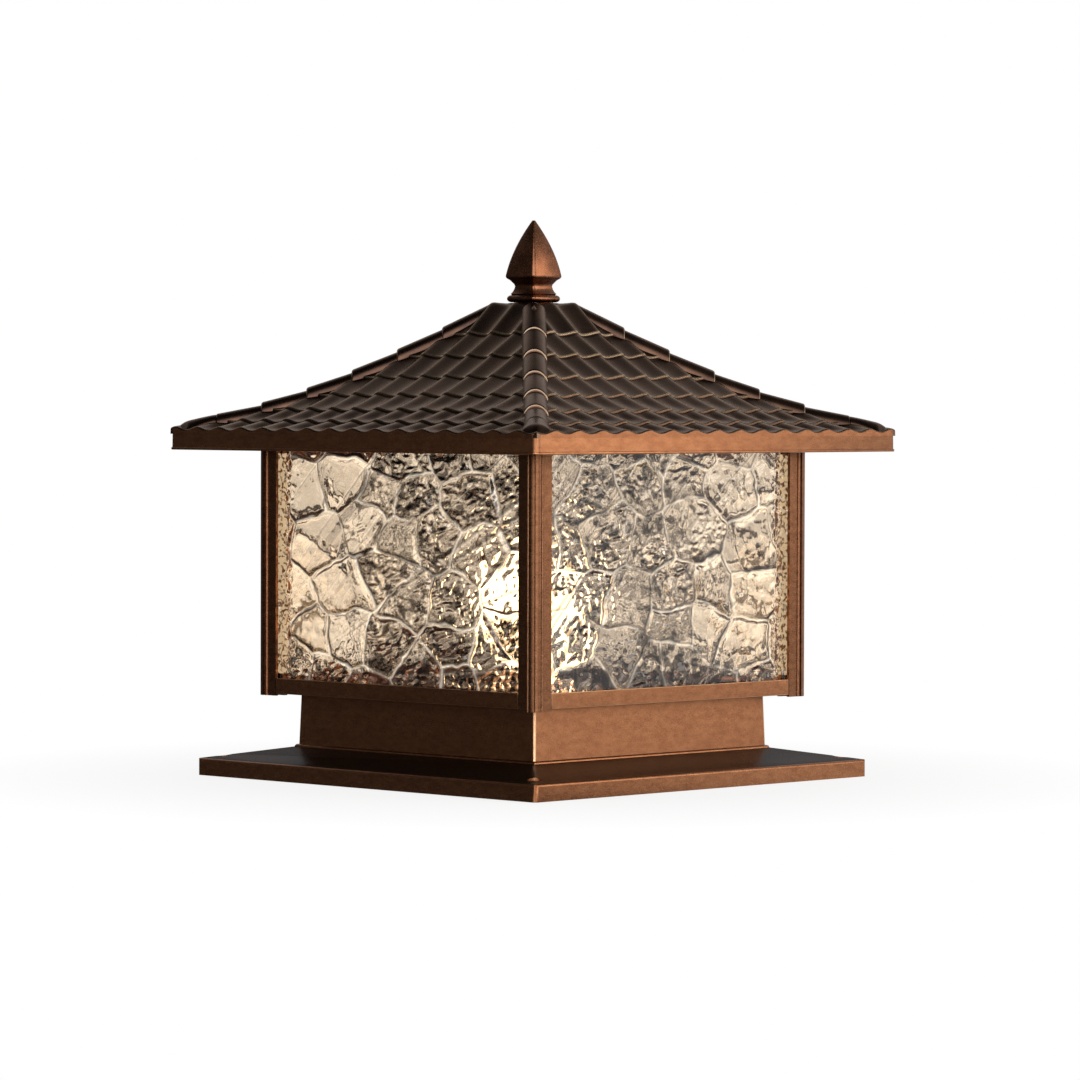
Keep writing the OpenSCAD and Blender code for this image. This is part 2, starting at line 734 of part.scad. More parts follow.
// Finial: heights are measured from its foot, walls are half widths
module finial() {
    neck = finial_neck_w / 2;
    collar = finial_collar_w / 2;
    wide = finial_w / 2;
    spear_z = finial_h * 0.3;
    collar_r = 2.1;
    spear_h = finial_h - spear_z;
    neck_walls = [for (w = [[1.2, 0.39], [1.05, 0.52], [1, 0.65], [1.11, 0.77]])
        [neck * w[0], spear_z * w[1]]];
    shoulder = [for (w = [[0.87, 0.93], [0.98, 1]]) [wide * w[0], spear_z * w[1]]];
    collar_walls = [for (i = [0:6]) let (a = -90 + 30 * i)
        [collar - collar_r * (1 - cos(a)), collar_r + collar_r * sin(a)]];
    spear_walls = [for (i = [0:10]) let (t = i / 10)
        [max(0.9, wide * (1 - 0.45 * t - 0.52 * t * t)), spear_z + 1 + (spear_h - 1) * t]];
    color(bronze) translate([0, 0, finial_z]) difference() {
        square_turn(concat(collar_walls, neck_walls, shoulder, spear_walls));
        translate([0, 0, -1]) cylinder(r = stud_r + thread_gap, h = stud_reach - finial_gap + 2);
        translate([0, 0, -1]) cylinder(r = washer_seat_r, h = washer_seat_h + 1);
    }
}

module finial_washer() {
    color(rubber_grey) translate([0, 0, crown_z + rest_gap]) difference() {
        cylinder(r = washer_r, h = washer_t);
        translate([0, 0, -1]) cylinder(r = stud_r + 0.4, h = washer_t + 2);
    }
}

// Lamp well: a pressed cup that hangs in the tray and holds the lampholder low in the plinth
module well_screw_places() {
    for (a = [60, 180, 300]) rotate([0, 0, a]) translate([well_screw_ring, 0, 0]) children();
}

module lamp_well() {
    depth = well_depth;
    color(steel) translate([0, 0, well_floor_z]) difference() {
        rotate_extrude() polygon([[0, 0], [well_out, 0], [well_out, depth], [well_flange_r, depth],
            [well_flange_r, depth + well_t], [well_r, depth + well_t], [well_r, well_t], [0, well_t]]);
        translate([0, 0, depth]) well_screw_places() translate([0, 0, -1])
            cylinder(r = small_screw_r + thread_gap, h = well_t + 2);
        for (y = [-1, 1]) translate([0, y * holder_screw_y, -1])
            cylinder(r = small_screw_r + thread_gap, h = well_t + 2);
        translate([lead_x, 0, -1]) cylinder(r = grommet_hole_r + thread_gap, h = well_t + 2);
    }
}

module well_screws() {
    color(steel) translate([0, 0, floor_z + well_t]) well_screw_places()
        pan_screw(small_screw_r, well_t + floor_t + 2, small_head_r, small_head_h);
}

// Ceramic lampholder with the terminal ear at its side
module lampholder() {
    color(ceramic_white) difference() {
        union() {
            rotate_extrude() polygon([[0, holder_z], [holder_r - holder_foot, holder_z],
                [holder_r, holder_z + 2 * holder_foot], [holder_r, holder_step_z],
                [holder_lip_r, holder_step_z + holder_step], [holder_lip_r, holder_top_z],
                [cavity_r, holder_top_z], [cavity_r, shell_foot_z], [cavity_low_r, shell_foot_z],
                [cavity_low_r, cavity_floor_z], [0, cavity_floor_z]]);
            translate([ear_in, -ear_w / 2, ear_z]) cube([ear_out - ear_in, ear_w, ear_h]);
        }
        for (y = [-1, 1]) {
            translate([0, y * holder_screw_y, holder_z - 1])
                cylinder(r = small_screw_r + thread_gap, h = holder_hole_h + 1);
            translate([(holder_r + ear_out) / 2, y * ear_hole_y, ear_z + ear_h - ear_hole_h])
                cylinder(r = ear_hole_r, h = ear_hole_h + 1);
        }
    }
}

module holder_screws() {
    color(steel) for (y = [-1, 1]) translate([0, y * holder_screw_y, well_floor_z]) rotate([180, 0, 0])
        pan_screw(small_screw_r, well_t + holder_hole_h - 1, small_head_r, small_head_h);
}

module screw_shell() {
    crest = 0.12;
    turns = 5;
    pitch = (shell_top_z - shell_foot_z) / turns;
    waves = [for (i = [0:4 * turns])
        [shell_in + shell_t - (i % 4 == 2 ? crest : 0), shell_foot_z + i * pitch / 4]];
    color(brass) rotate_extrude()
        polygon(concat([[shell_in, shell_top_z], [shell_in, shell_foot_z]], waves));
}

module centre_contact() {
    strip_w = 4;
    strip_l = 12;
    strip_h = 0.6;
    color(brass) translate([0, 0, cavity_floor_z]) {
        cylinder(r = strip_w, h = 2 * strip_h);
        translate([-strip_l / 4, -strip_w / 2, 0])
            cube([strip_l / 2, strip_w, contact_z - cavity_floor_z - rest_gap]);
        translate([-strip_l / 2, -strip_w / 2, 0]) cube([strip_l, strip_w, strip_h]);
    }
}

module lead_grommet() {
    color(rubber_grey) translate([lead_x, 0, well_floor_z]) rotate_extrude()
        polygon([[lead_r + 0.1, -grommet_flange_h], [grommet_flange_r, -grommet_flange_h],
            [grommet_flange_r, 0], [grommet_hole_r, 0], [grommet_hole_r, well_t], [grommet_flange_r, well_t],
            [grommet_flange_r, well_t + grommet_flange_h], [lead_r + 0.1, well_t + grommet_flange_h]]);
}

// Sleeved lead: up from the run under the well to the terminal ear, and up to the terminal block
module lamp_lead() {
    color(ceramic_white) {
        lead_rise(lead_x, ear_z, 1);
        lead_rise(lead_end_x, block_z, -1);
        translate([lead_x + lead_bend, 0, lead_run_z]) rotate([0, 90, 0])
            cylinder(r = lead_r, h = lead_end_x - lead_x - 2 * lead_bend);
    }
}

module lead_rise(x, top_z, side) {
    translate([x, 0, lead_run_z + lead_bend]) cylinder(r = lead_r, h = top_z - lead_run_z - lead_bend);
    translate([x + side * lead_bend, 0, lead_run_z + lead_bend]) rotate([90, 0, 0])
        rotate([0, 0, side > 0 ? 180 : 270]) rotate_extrude(angle = 90)
            translate([lead_bend, 0]) circle(lead_r);
}

module block_screw_places() {
    for (y = [-1, 1]) translate([block_x + block_l / 2, y * (block_w / 2 - 4), 0]) children();
}

module terminal_block() {
    color([0.88, 0.87, 0.82]) difference() {
        translate([block_x, -block_w / 2, block_z]) cube([block_l, block_w, block_h]);
        for (y = [-1:1]) translate([0, y * way_pitch, block_z - 1]) {
            translate([block_x - 1, -way_w / 2, 0]) cube([way_in + 1, way_w, way_h + 1]);
            translate([block_x + block_l - 4, 0, 0]) cylinder(r = way_hole_r, h = way_hole_h + 1);
        }
        block_screw_places() translate([0, 0, block_z - 1])
            cylinder(r = small_screw_r + thread_gap, h = block_h + 2);
    }
}

module terminal_screws() {
    color(steel) translate([0, 0, floor_z]) block_screw_places()
        pan_screw(small_screw_r, floor_t + 8, small_head_r, small_head_h);
}

module earth_screw() {
    color(brass) translate([earth_x, earth_y, floor_z]) {
        difference() {
            cylinder(r = lug_eye_r, h = lug_eye_t);
            translate([0, 0, -1]) cylinder(r = screw_r - 0.2, h = lug_eye_t + 2);
        }
        translate([0, 0, lug_eye_t]) pan_screw(screw_r, floor_t + 7, head_r, head_h);
    }
}

// Bulb. The profile of the globe is a sphere that flows into the neck
function mix3(a, b, t) = a * (1 - t) + b * t;
function curve(p, t) = let (a = mix3(p[0], p[1], t), b = mix3(p[1], p[2], t), c = mix3(p[2], p[3], t))
    mix3(mix3(a, b, t), mix3(b, c, t), t);
function globe_profile(r, foot_r, foot_z) = let (join = -35, rise = 16, pull = 14, steps = 14,
    end = [r * cos(join), globe_z + r * sin(join)],
    bend = [[foot_r, foot_z], [foot_r, foot_z + rise], end - pull * [-sin(join), cos(join)], end])
    concat([for (i = [0:steps - 1]) curve(bend, i / steps)],
        [for (i = [0:steps]) let (a = join + (90 - join) * i / steps) [r * cos(a), globe_z + r * sin(a)]]);

module bulb_globe() {
    outer = globe_profile(globe_r, neck_r, globe_foot_z);
    inner = globe_profile(globe_r - globe_t, neck_r - globe_t, globe_foot_z);
    color([1, 0.96, 0.86, 0.5]) rotate_extrude()
        polygon(concat(outer, [for (i = [len(inner) - 1:-1:0]) inner[i]]));
}

module bulb_cap() {
    turns = 4;
    thread_z = cap_foot_z + 2;
    pitch = 3.6;
    waves = [for (i = [0:2 * turns]) [cap_r - (i % 2 == 0 ? cap_thread : 0), thread_z + i * pitch / 2]];
    color(steel) rotate_extrude() polygon(concat([[cap_ring_r, cap_foot_z], [cap_bare_r, cap_foot_z + 1.4]],
        waves, [[cap_bare_r, cap_top_z], [cap_in_r, cap_top_z], [cap_in_r, cap_foot_z + 2.2],
        [cap_ring_r - 0.6, cap_foot_z + cap_wall]]));
}

module cap_insulator() {
    color([0.12, 0.11, 0.1]) rotate_extrude() polygon([[0, cap_foot_z + 0.6],
        [cap_ring_r - 0.7, cap_foot_z + 0.6], [cap_ring_r - 0.1, cap_foot_z - 0.2],
        [button_r + 0.4, contact_z + 1], [button_r, contact_z], [0, contact_z]]);
}

module bulb_stem() {
    flare = 12;
    color([0.9, 0.93, 0.95, 0.6]) {
        rotate_extrude() polygon([[0, globe_foot_z], [stem_foot_r, globe_foot_z],
            [stem_foot_r, globe_foot_z + flare / 6], [stem_r, globe_foot_z + flare],
            [stem_r, stem_top_z], [0, stem_top_z]]);
        translate([0, 0, stem_top_z]) cylinder(r = rod_r, h = filament_high_z - stem_top_z);
        translate([0, 0, stem_top_z]) cylinder(r = filament_low_r + carrier_rim, h = carrier_t);
        translate([0, 0, filament_high_z]) cylinder(r = filament_high_r + carrier_rim, h = carrier_t);
    }
}

module bulb_filaments() {
    lean = atan((filament_high_r - filament_low_r) / (filament_high_z - filament_low_z));
    len = (filament_high_z - filament_low_z) / cos(lean);
    end_gap = 0.4;
    color([1, 0.85, 0.45]) for (i = [0:filament_n - 1]) rotate([0, 0, 45 + 360 * i / filament_n])
        translate([filament_low_r, 0, filament_low_z]) rotate([0, lean, 0])
            translate([0, 0, end_gap]) cylinder(r = filament_r, h = len - 2 * end_gap);
}

base_casting();
plinth_gasket();
body_tray();
tray_screws();
corner_post_front_right();
corner_post_back_right();
corner_post_back_left();
corner_post_front_left();
post_foot_screws();
glass_front();
glass_right();
glass_back();
glass_left();
setting_strips();
top_frame();
top_frame_screws();
crossbar();
crossbar_screws();
roof_stud();
stud_nuts();
roof_gasket();
roof_casting();
finial_washer();
finial();
lamp_well();
well_screws();
lampholder();
holder_screws();
screw_shell();
centre_contact();
lead_grommet();
lamp_lead();
terminal_block();
terminal_screws();
earth_screw();
bulb_cap();
cap_insulator();
bulb_globe();
bulb_stem();
bulb_filaments();
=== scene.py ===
"""Looks of the pillar light: its meshes and finishes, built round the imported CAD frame.

Pieces are made in millimetres, in the frame's own axes, and brought to metres when they are placed.
"""

import logging
import math
from collections.abc import Callable, Iterable
from dataclasses import dataclass
from enum import Enum
from functools import cache

import bmesh
import bpy
import numpy as np
from bmesh.types import BMEdge, BMesh, BMFace, BMVert
from bpy.types import Material, Node, NodeSocket, NodeTree, Object
from mathutils import Matrix, Vector


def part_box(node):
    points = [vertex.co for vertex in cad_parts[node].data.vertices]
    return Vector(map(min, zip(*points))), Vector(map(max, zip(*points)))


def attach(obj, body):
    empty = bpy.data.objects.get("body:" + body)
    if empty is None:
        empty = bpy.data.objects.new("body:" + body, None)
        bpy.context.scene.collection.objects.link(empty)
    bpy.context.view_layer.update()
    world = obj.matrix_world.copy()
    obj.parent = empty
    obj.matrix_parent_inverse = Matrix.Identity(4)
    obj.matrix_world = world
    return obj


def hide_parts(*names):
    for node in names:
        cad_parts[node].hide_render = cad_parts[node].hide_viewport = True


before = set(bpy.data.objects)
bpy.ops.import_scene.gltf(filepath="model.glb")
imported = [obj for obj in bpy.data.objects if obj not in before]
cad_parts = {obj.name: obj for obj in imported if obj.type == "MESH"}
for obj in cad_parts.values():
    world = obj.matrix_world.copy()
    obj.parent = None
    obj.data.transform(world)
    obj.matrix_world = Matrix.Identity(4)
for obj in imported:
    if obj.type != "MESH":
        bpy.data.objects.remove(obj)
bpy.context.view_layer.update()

MM = 0.001
LOG = logging.getLogger("pillar_light")
WHITE = (1.0, 1.0, 1.0, 1.0)
# Directions on the plan: to the lit right side, to the left of the viewer and away from that
SUNWARD = (0.7, 0.7, 0.0)
FRONTWARD = (0.7, -0.7, 0.0)
BACKWARD = (-0.7, 0.7, 0.0)


class Side(Enum):
    """The four sides of the lantern, with their turn about the axis in degrees."""

    FRONT = 0
    RIGHT = 90
    BACK = 180
    LEFT = 270

    @property
    def turn(self) -> Matrix:
        """Turns a piece of the front to this side."""
        return Matrix.Rotation(math.radians(self.value), 4, "Z")


class Body(Enum):
    """The CAD bodies that new pieces ride on."""

    LANTERN = "lantern"
    ROOF = "roof"
    FINIAL = "finial"


# Finishes


def linear(hex_colour: str) -> tuple[float, float, float, float]:
    """Turns an sRGB hex colour to linear light.

    Args:
        hex_colour: Six hex digits after a hash.

    Returns:
        Red, green, blue and an alpha of 1.
    """
    parts = [int(hex_colour[i : i + 2], 16) / 255 for i in (1, 3, 5)]
    light = [p / 12.92 if p <= 0.04045 else ((p + 0.055) / 1.055) ** 2.4 for p in parts]
    return (*light, 1.0)


def add_node(
    tree: NodeTree, kind: str, inputs: dict[str | int, object] | tuple = (), **settings: object
) -> Node:
    """Adds a node with its settings and links.

    Args:
        tree: The node tree.
        kind: The node's type name after "ShaderNode".
        inputs: Values for its inputs, in order, or by name or number. A socket is linked, and of a
            node the first live output.
        **settings: Values of the node's own properties.

    Returns:
        The new node.
    """
    node = tree.nodes.new(f"ShaderNode{kind}")
    for name, value in settings.items():
        setattr(node, name, value)
    for name, value in inputs.items() if isinstance(inputs, dict) else enumerate(inputs):
        if isinstance(value, Node):
            value = next(socket for socket in value.outputs if socket.enabled)
        if isinstance(value, NodeSocket):
            tree.links.new(value, node.inputs[name])
        else:
            node.inputs[name].default_value = value
    return node


def new_material(name: str) -> tuple[Material, NodeTree, NodeSocket]:
    """Makes an empty node material.

    Args:
        name: The material's name.

    Returns:
        The material, its node tree and its Object coordinates.
    """
    material = bpy.data.materials.new(name)
    material.use_nodes = True
    tree = material.node_tree
    tree.nodes.clear()
    return material, tree, add_node(tree, "TexCoord").outputs["Object"]


@dataclass(frozen=True)
class Finish:
    """A finish: its material's name and the record's slot that it stands for."""

    name: str
    slot: str

    @cache
    def material(self) -> Material:
        """Builds the node material, once.

        Returns:
            The material.
        """
        material, tree, place = new_material(self.name)
        add_node(tree, "OutputMaterial", {"Surface": self.shader(tree, place)})
        return material

    def shader(self, tree: NodeTree, place: NodeSocket) -> Node:
        """Builds the nodes of one kind of finish.

        Args:
            tree: The material's nodes.
            place: Its Object coordinates.

        Returns:
            The shader.
        """
        raise NotImplementedError


@dataclass(frozen=True)
class Surface(Finish):
    """An opaque finish: two tones that mottle into each other, a bare tone and a fine grain.

    The bare tone shows where a mesh has the attribute wear, which marks bare metal and also
    paints highlights and sheen on edges, lips and crests. Where it has the attribute weathered, a
    darker tone and a tint on the gloss, if the finish has them, paint shade.
    """

    base: str
    shade: str
    worn_and_sheen: str
    metallic: float = 0.0
    roughness: float = 0.5
    roughness_spread: float = 0.08
    mottle_mm: float = 9.0
    grain_mm: float = 0.9
    depth_mm: float = 0.03
    stretch: float = 1.0
    speckle: float = 0.0
    coat: float = 0.0
    edge: str = "#FFFFFF"
    painted_top_shade: str = ""
    top_shade_tint: str = ""

    def shader(self, tree: NodeTree, place: NodeSocket) -> Node:
        """Builds the nodes of mottle, grain and wear.

        Args:
            tree: The material's nodes.
            place: Its Object coordinates.

        Returns:
            The shader.
        """
        drawn = add_node(tree, "Mapping", {"Vector": place, "Scale": (1.0, 1.0, self.stretch)})
        mottle = add_node(tree, "TexNoise", {
            "Vector": drawn, "Scale": 1 / (self.mottle_mm * MM), "Detail": 5.0, "Roughness": 0.62,
        })
        grain = add_node(tree, "TexNoise", {
            "Vector": drawn, "Scale": 1 / (self.grain_mm * MM), "Detail": 3.0, "Roughness": 0.6,
        })
        patch = add_node(tree, "MapRange", (mottle, 0.36, 0.64))
        tones = {0: patch, 6: linear(self.base), 7: linear(self.shade)}
        tone = add_node(tree, "Mix", tones, data_type="RGBA")
        tint = linear(self.edge)
        if self.painted_top_shade:
            # Painted shade: faces that lie flat and face up get a darker tone
            flat = add_node(tree, "Attribute", attribute_name="shaded_top").outputs["Fac"]
            tones = {0: flat, 6: tone, 7: linear(self.painted_top_shade)}
            tone = add_node(tree, "Mix", tones, data_type="RGBA")
            # A tint on their gloss, also painted shade, keeps them from turning white where they are
            # seen at a flat angle
            tint = add_node(tree, "Mix", {0: flat, 6: tint, 7: linear(self.top_shade_tint)}, data_type="RGBA")
        # Edges are rubbed back unevenly, and the same mask paints a highlight on them and on the
        # tile crests; the tops of the grain are left as bare flecks
        rubbed = add_node(tree, "Attribute", attribute_name="wear_and_sheen").outputs["Fac"]
        uneven = add_node(tree, "Math", (mottle, 0.9, 0.35), operation="MULTIPLY_ADD")
        edge = add_node(tree, "Math", (rubbed, uneven), operation="MULTIPLY", use_clamp=True)
        fleck = add_node(tree, "MapRange", (grain, 0.56, 0.7, 0.0, self.speckle))
        bare = add_node(tree, "Math", (edge, fleck), operation="MAXIMUM")
        colour = add_node(tree, "Mix", {0: bare, 6: tone, 7: linear(self.worn_and_sheen)}, data_type="RGBA")
        low, high = self.roughness - self.roughness_spread, self.roughness + self.roughness_spread
        gloss = add_node(tree, "MapRange", (grain, 0.3, 0.7, low, high))
        depth = self.depth_mm * MM
        bump = add_node(tree, "Bump", {"Height": grain, "Strength": 1.0, "Distance": depth})
        return add_node(tree, "BsdfPrincipled", {
            "Base Color": colour, "Metallic": self.metallic, "Roughness": gloss, "Normal": bump,
            "Specular Tint": tint, "Coat Weight": self.coat, "Coat Roughness": 0.25,
        })


@dataclass(frozen=True)
class Glass(Finish):
    """Clear glass with faint ripples.

    Figured glass has painted shade, brown lines and flecks, where a mesh has the attribute
    settled, and painted highlights, veins that glow, where it has lit.
    """

    tint: str
    roughness: float = 0.0
    ripple_mm: float = 3.2
    ripple_depth_mm: float = 0.06
    figured: bool = False
    painted_shade: str = "#1C110A"
    glint: str = "#FFF2DE"
    glint_strength: float = 0.45

    def shader(self, tree: NodeTree, place: NodeSocket) -> Node:
        """Builds the nodes of ripples, painted shade and painted bright veins.

        Args:
            tree: The material's nodes.
            place: Its Object coordinates.

        Returns:
            The shader.
        """
        # Drawn sheet has faint ripples a few millimetres long
        ripples = {"Vector": place, "Scale": 1 / (self.ripple_mm * MM), "Detail": 2.0}
        ripple = add_node(tree, "TexNoise", ripples)
        depth = self.ripple_depth_mm * MM
        bump = add_node(tree, "Bump", {"Height": ripple, "Strength": 1.0, "Distance": depth})
        colour, thread = linear(self.tint), 0.0
        if self.figured:
            # Painted shade: a thin brown line along the grooves, and dark flecks, where the mesh marks
            # them
            groove = add_node(tree, "Attribute", attribute_name="painted_shade").outputs["Fac"]
            tones = {0: groove, 6: colour, 7: linear(self.painted_shade)}
            colour = add_node(tree, "Mix", tones, data_type="RGBA")
            # Painted highlight: the veins glow as bright threads, in place of the bulb's light along them
            vein = add_node(tree, "Attribute", attribute_name="lit").outputs["Fac"]
            thread = add_node(tree, "Math", (vein, self.glint_strength), operation="MULTIPLY")
        return add_node(tree, "BsdfPrincipled", {
            "Base Color": colour, "Roughness": self.roughness, "IOR": 1.5, "Normal": bump,
            "Transmission Weight": 1.0, "Emission Color": linear(self.glint),
            "Emission Strength": thread,
        })


@dataclass(frozen=True)
class Glow(Finish):
    """A lit finish: a tone, clouded with a darker one if it has one, with light of its own."""

    tone: str
    strength: float
    shade: str = ""
    grain_mm: float = 4.0

    def shader(self, tree: NodeTree, place: NodeSocket) -> Node:
        """Builds the nodes of clouded glow.

        Args:
            tree: The material's nodes.
            place: Its Object coordinates.

        Returns:
            The shader.
        """
        grains = {"Vector": place, "Scale": 1 / (self.grain_mm * MM), "Detail": 2.0}
        dust = add_node(tree, "TexNoise", grains)
        colour = linear(self.tone)
        if self.shade:
            patch = add_node(tree, "MapRange", (dust, 0.48, 0.6))
            tones = {0: patch, 6: colour, 7: linear(self.shade)}
            colour = add_node(tree, "Mix", tones, data_type="RGBA")
        gloss = add_node(tree, "MapRange", (dust, 0.0, 1.0, 0.3, 0.5))
        return add_node(tree, "BsdfPrincipled", {
            "Base Color": colour, "Emission Color": colour, "Emission Strength": self.strength,
            "Roughness": gloss,
        })


# Copper plated aluminium casting, oil rubbed and lacquered: warm brown metal with a fine mottle
# On the plate's upward faces it paints shade with a darker tone and a tint on its gloss
CAST_COPPER = Surface(
    "rubbed_copper_casting", "bronze_casting", "#946445", "#83553A", "#D2A680", metallic=1.0,
    roughness=0.33, mottle_mm=7, depth_mm=0.035, stretch=2.2, speckle=0.3, painted_top_shade="#66523F",
    top_shade_tint="#B4BDC6",
)
# The same plating on the posts, in a darker tone that paints the shade falling on them
POST_COPPER_SHADED = Surface(
    "rubbed_copper_posts_painted_shade", "bronze_casting", "#7E553C", "#6A4630", "#D2A680", metallic=1.0,
    roughness=0.31, mottle_mm=7, stretch=2.2, speckle=0.2,
)
# The same plating on the finial, handled more and so a little glossier
FINIAL_COPPER = Surface(
    "rubbed_copper_finial", "finial_casting", "#80533C", "#68432F", "#D2A680", metallic=1.0,
    roughness=0.3, mottle_mm=8, speckle=0.2,
)
# Roof casting under dark patina, rubbed back to copper along the tile lips, whose bare tone also
# paints highlights on the lips, crests and ridge ends
TILE_PATINA = Surface(
    "dark_patina_tiles", "roof_casting", "#4B372C", "#392A23", "#D8BE9E", metallic=1.0,
    roughness=0.27, roughness_spread=0.05, mottle_mm=14, grain_mm=1.2, depth_mm=0.02, coat=0.03,
    edge="#EDE3DC",
)
# Bright zinc plating on steel screws, bar and cup: cool grey, faintly clouded
ZINC_STEEL = Surface(
    "zinc_plated_steel", "steel", "#B9BABA", "#9FA1A3", "#D4D5D6", metallic=1.0, roughness=0.34,
    mottle_mm=4, grain_mm=0.5, depth_mm=0.01,
)
# Rolled aluminium of the bulb's cap: pale, smooth and softly mirrored
CAP_ALUMINIUM = Surface(
    "rolled_aluminium_cap", "cap_metal", "#C6C7C9", "#B4B5B8", "#DEDEE0", metallic=1.0,
    roughness=0.3, mottle_mm=5, grain_mm=0.5, depth_mm=0.008,
)
# Pressed brass of the shell and contacts: yellow, with slightly darker clouds
SHELL_BRASS = Surface(
    "nickel_free_brass", "brass", "#C9A45C", "#B08C46", "#E2C687", metallic=1.0, roughness=0.32,
    mottle_mm=5, grain_mm=0.5, depth_mm=0.01,
)
# Black moulded rubber: matt, with a bloom of paler wax
MOULDED_RUBBER = Surface(
    "moulded_rubber", "rubber", "#26262A", "#303033", "#4A4A4C", roughness=0.75, mottle_mm=8,
    grain_mm=0.6,
)
# Cut ring of closed cell foam: dead matt, with small open pores
CELL_FOAM = Surface(
    "closed_cell_foam", "foam", "#202124", "#2B2C2F", "#3C3C40", roughness=0.9, mottle_mm=4,
    grain_mm=0.5, depth_mm=0.12,
)
# Steatite ceramic under a clear glaze: creamy white and glossy
GLAZED_CERAMIC = Surface(
    "glazed_steatite", "ceramic", "#F0ECE2", "#E6E1D4", "#FBF8F0", roughness=0.22, mottle_mm=10,
    grain_mm=1.2, depth_mm=0.02,
)
# Silicone sleeve of the lead: milky, half matt
SILICONE_SLEEVE = Surface(
    "silicone_sleeve", "insulation", "#E4E0D6", "#D9D4C8", "#F0EDE6", roughness=0.55, mottle_mm=6,
    grain_mm=0.5, depth_mm=0.02,
)
# Moulded nylon of the terminal block: ivory with a low sheen
BLOCK_NYLON = Surface(
    "moulded_nylon", "block_plastic", "#DEDBD0", "#D2CEC2", "#ECEAE2", roughness=0.45,
    mottle_mm=8, grain_mm=0.6, depth_mm=0.02,
)
# Black glass that insulates the contact in the bulb's cap: dark and shiny
BLACK_GLASS = Surface(
    "black_cap_glass", "cap_glass", "#17161A", "#1F1E22", "#333236", roughness=0.15, mottle_mm=5,
    grain_mm=0.8, depth_mm=0.01,
)
# Rolled figured glass: very slightly warm through its thickness, with painted brown shade in its
# grooves and painted highlights along its veins
FIGURED_GLASS = Glass("rolled_figured_glass", "pattern_glass", "#F6E9D8", figured=True)
# Clear soda glass of the bulb's stem, a little blurred by its melting
STEM_GLASS = Glass("lamp_stem_glass", "bulb_glass", "#F4F4F0", roughness=0.05)
# Opal coated lamp globe, lit: about 2700 K
LIT_GLOBE = Glow("lit_opal_globe", "bulb_glass", "#FFE2B8", 4.0)
# Pale butyl glazing tape behind the pane edges, with a painted glow for the bulb's light through
# it: crumbly, cream and brown
TAPE_PAINTED_GLOW = Glow("glazing_tape_painted_glow", "rubber", "#F0DDBE", 0.7, "#6A4A30", 2.0)
# Filaments of the lamp, lit: hot orange
LIT_FILAMENT = Glow("lit_filament", "filament", "#FFC274", 12.0)


# Mesh and object helpers


def merge_into(target: BMesh, part: BMesh) -> None:
    """Adds a part's mesh to a piece and frees the part.

    Args:
        target: The piece's mesh.
        part: The part's mesh.
    """
    scrap = bpy.data.meshes.new("scrap")
    part.to_mesh(scrap)
    part.free()
    target.from_mesh(scrap)
    bpy.data.meshes.remove(scrap)


def moved(part: BMesh, matrix: Matrix) -> BMesh:
    """Moves a part and turns its faces outwards.

    Args:
        part: The part's mesh.
        matrix: How it moves.

    Returns:
        The same mesh.
    """
    bmesh.ops.transform(part, matrix=matrix, verts=part.verts)
    bmesh.ops.recalc_face_normals(part, faces=part.faces)
    return part


def add_object(name: str, data: bpy.types.ID) -> Object:
    """Adds an object to the scene, at the origin.

    Args:
        name: The object's name.
        data: Its mesh, light or camera.

    Returns:
        The new object.
    """
    made = bpy.data.objects.new(name, data)
    bpy.context.scene.collection.objects.link(made)
    return made


def place_piece(
    name: str,
    mesh: BMesh,
    body: Body,
    finish: Finish,
    replaces: Iterable[str] = (),
    sharp_deg: float = 32.0,
    broad_flats: bool = False,
) -> None:
    """Makes an object of a mesh in millimetres and hangs it on its CAD body.

    Args:
        name: The piece's name.
        mesh: The finished mesh, which is freed.
        body: The CAD body it rides on.
        finish: Its finish.
        replaces: The CAD nodes it stands for.
        sharp_deg: Edges that turn more than this stay sharp.
        broad_flats: Its broad faces keep their own normals up to their rounded edges.
    """
    bmesh.ops.scale(mesh, vec=(MM, MM, MM), verts=mesh.verts)
    data = bpy.data.meshes.new(name)
    mesh.to_mesh(data)
    mesh.free()
    data.shade_smooth()
    data.set_sharp_from_angle(angle=math.radians(sharp_deg))
    data.materials.append(finish.material())
    piece = add_object(name, data)
    if broad_flats:
        normals = piece.modifiers.new("weighted_normals", "WEIGHTED_NORMAL")
        normals.weight = 100
        normals.keep_sharp = True
    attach(piece, body.value)
    if replaces:
        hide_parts(*replaces)
    LOG.info("%s: %d faces on %s", name, len(data.polygons), body.value)


def dress(finish: Finish, *nodes: str) -> None:
    """Gives CAD nodes that keep their own shape their finish.

    Args:
        finish: The finish.
        *nodes: The nodes' names.
    """
    for node in nodes:
        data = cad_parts[node].data
        data.materials.clear()
        data.materials.append(finish.material())
        LOG.info("%s: %s", node, finish.name)


def square_loop(bm: BMesh, half: float, corner: float, z: float) -> list[BMVert]:
    """Draws a square ring of vertices with round corners.

    Args:
        bm: The mesh to draw in.
        half: Half of the square's width.
        corner: Radius of the corners.
        z: Height of the ring.

    Returns:
        The ring's vertices in order.
    """
    corner_steps = 4
    ring = []
    for quarter in range(4):
        turn = Matrix.Rotation(math.radians(90 * quarter), 3, "Z")
        for step in range(corner_steps + 1):
            a = math.radians(90 * step / corner_steps)
            x, y = half - corner * (1 - math.cos(a)), half - corner * (1 - math.sin(a))
            ring.append(bm.verts.new(turn @ Vector((x, y, z))))
    return ring


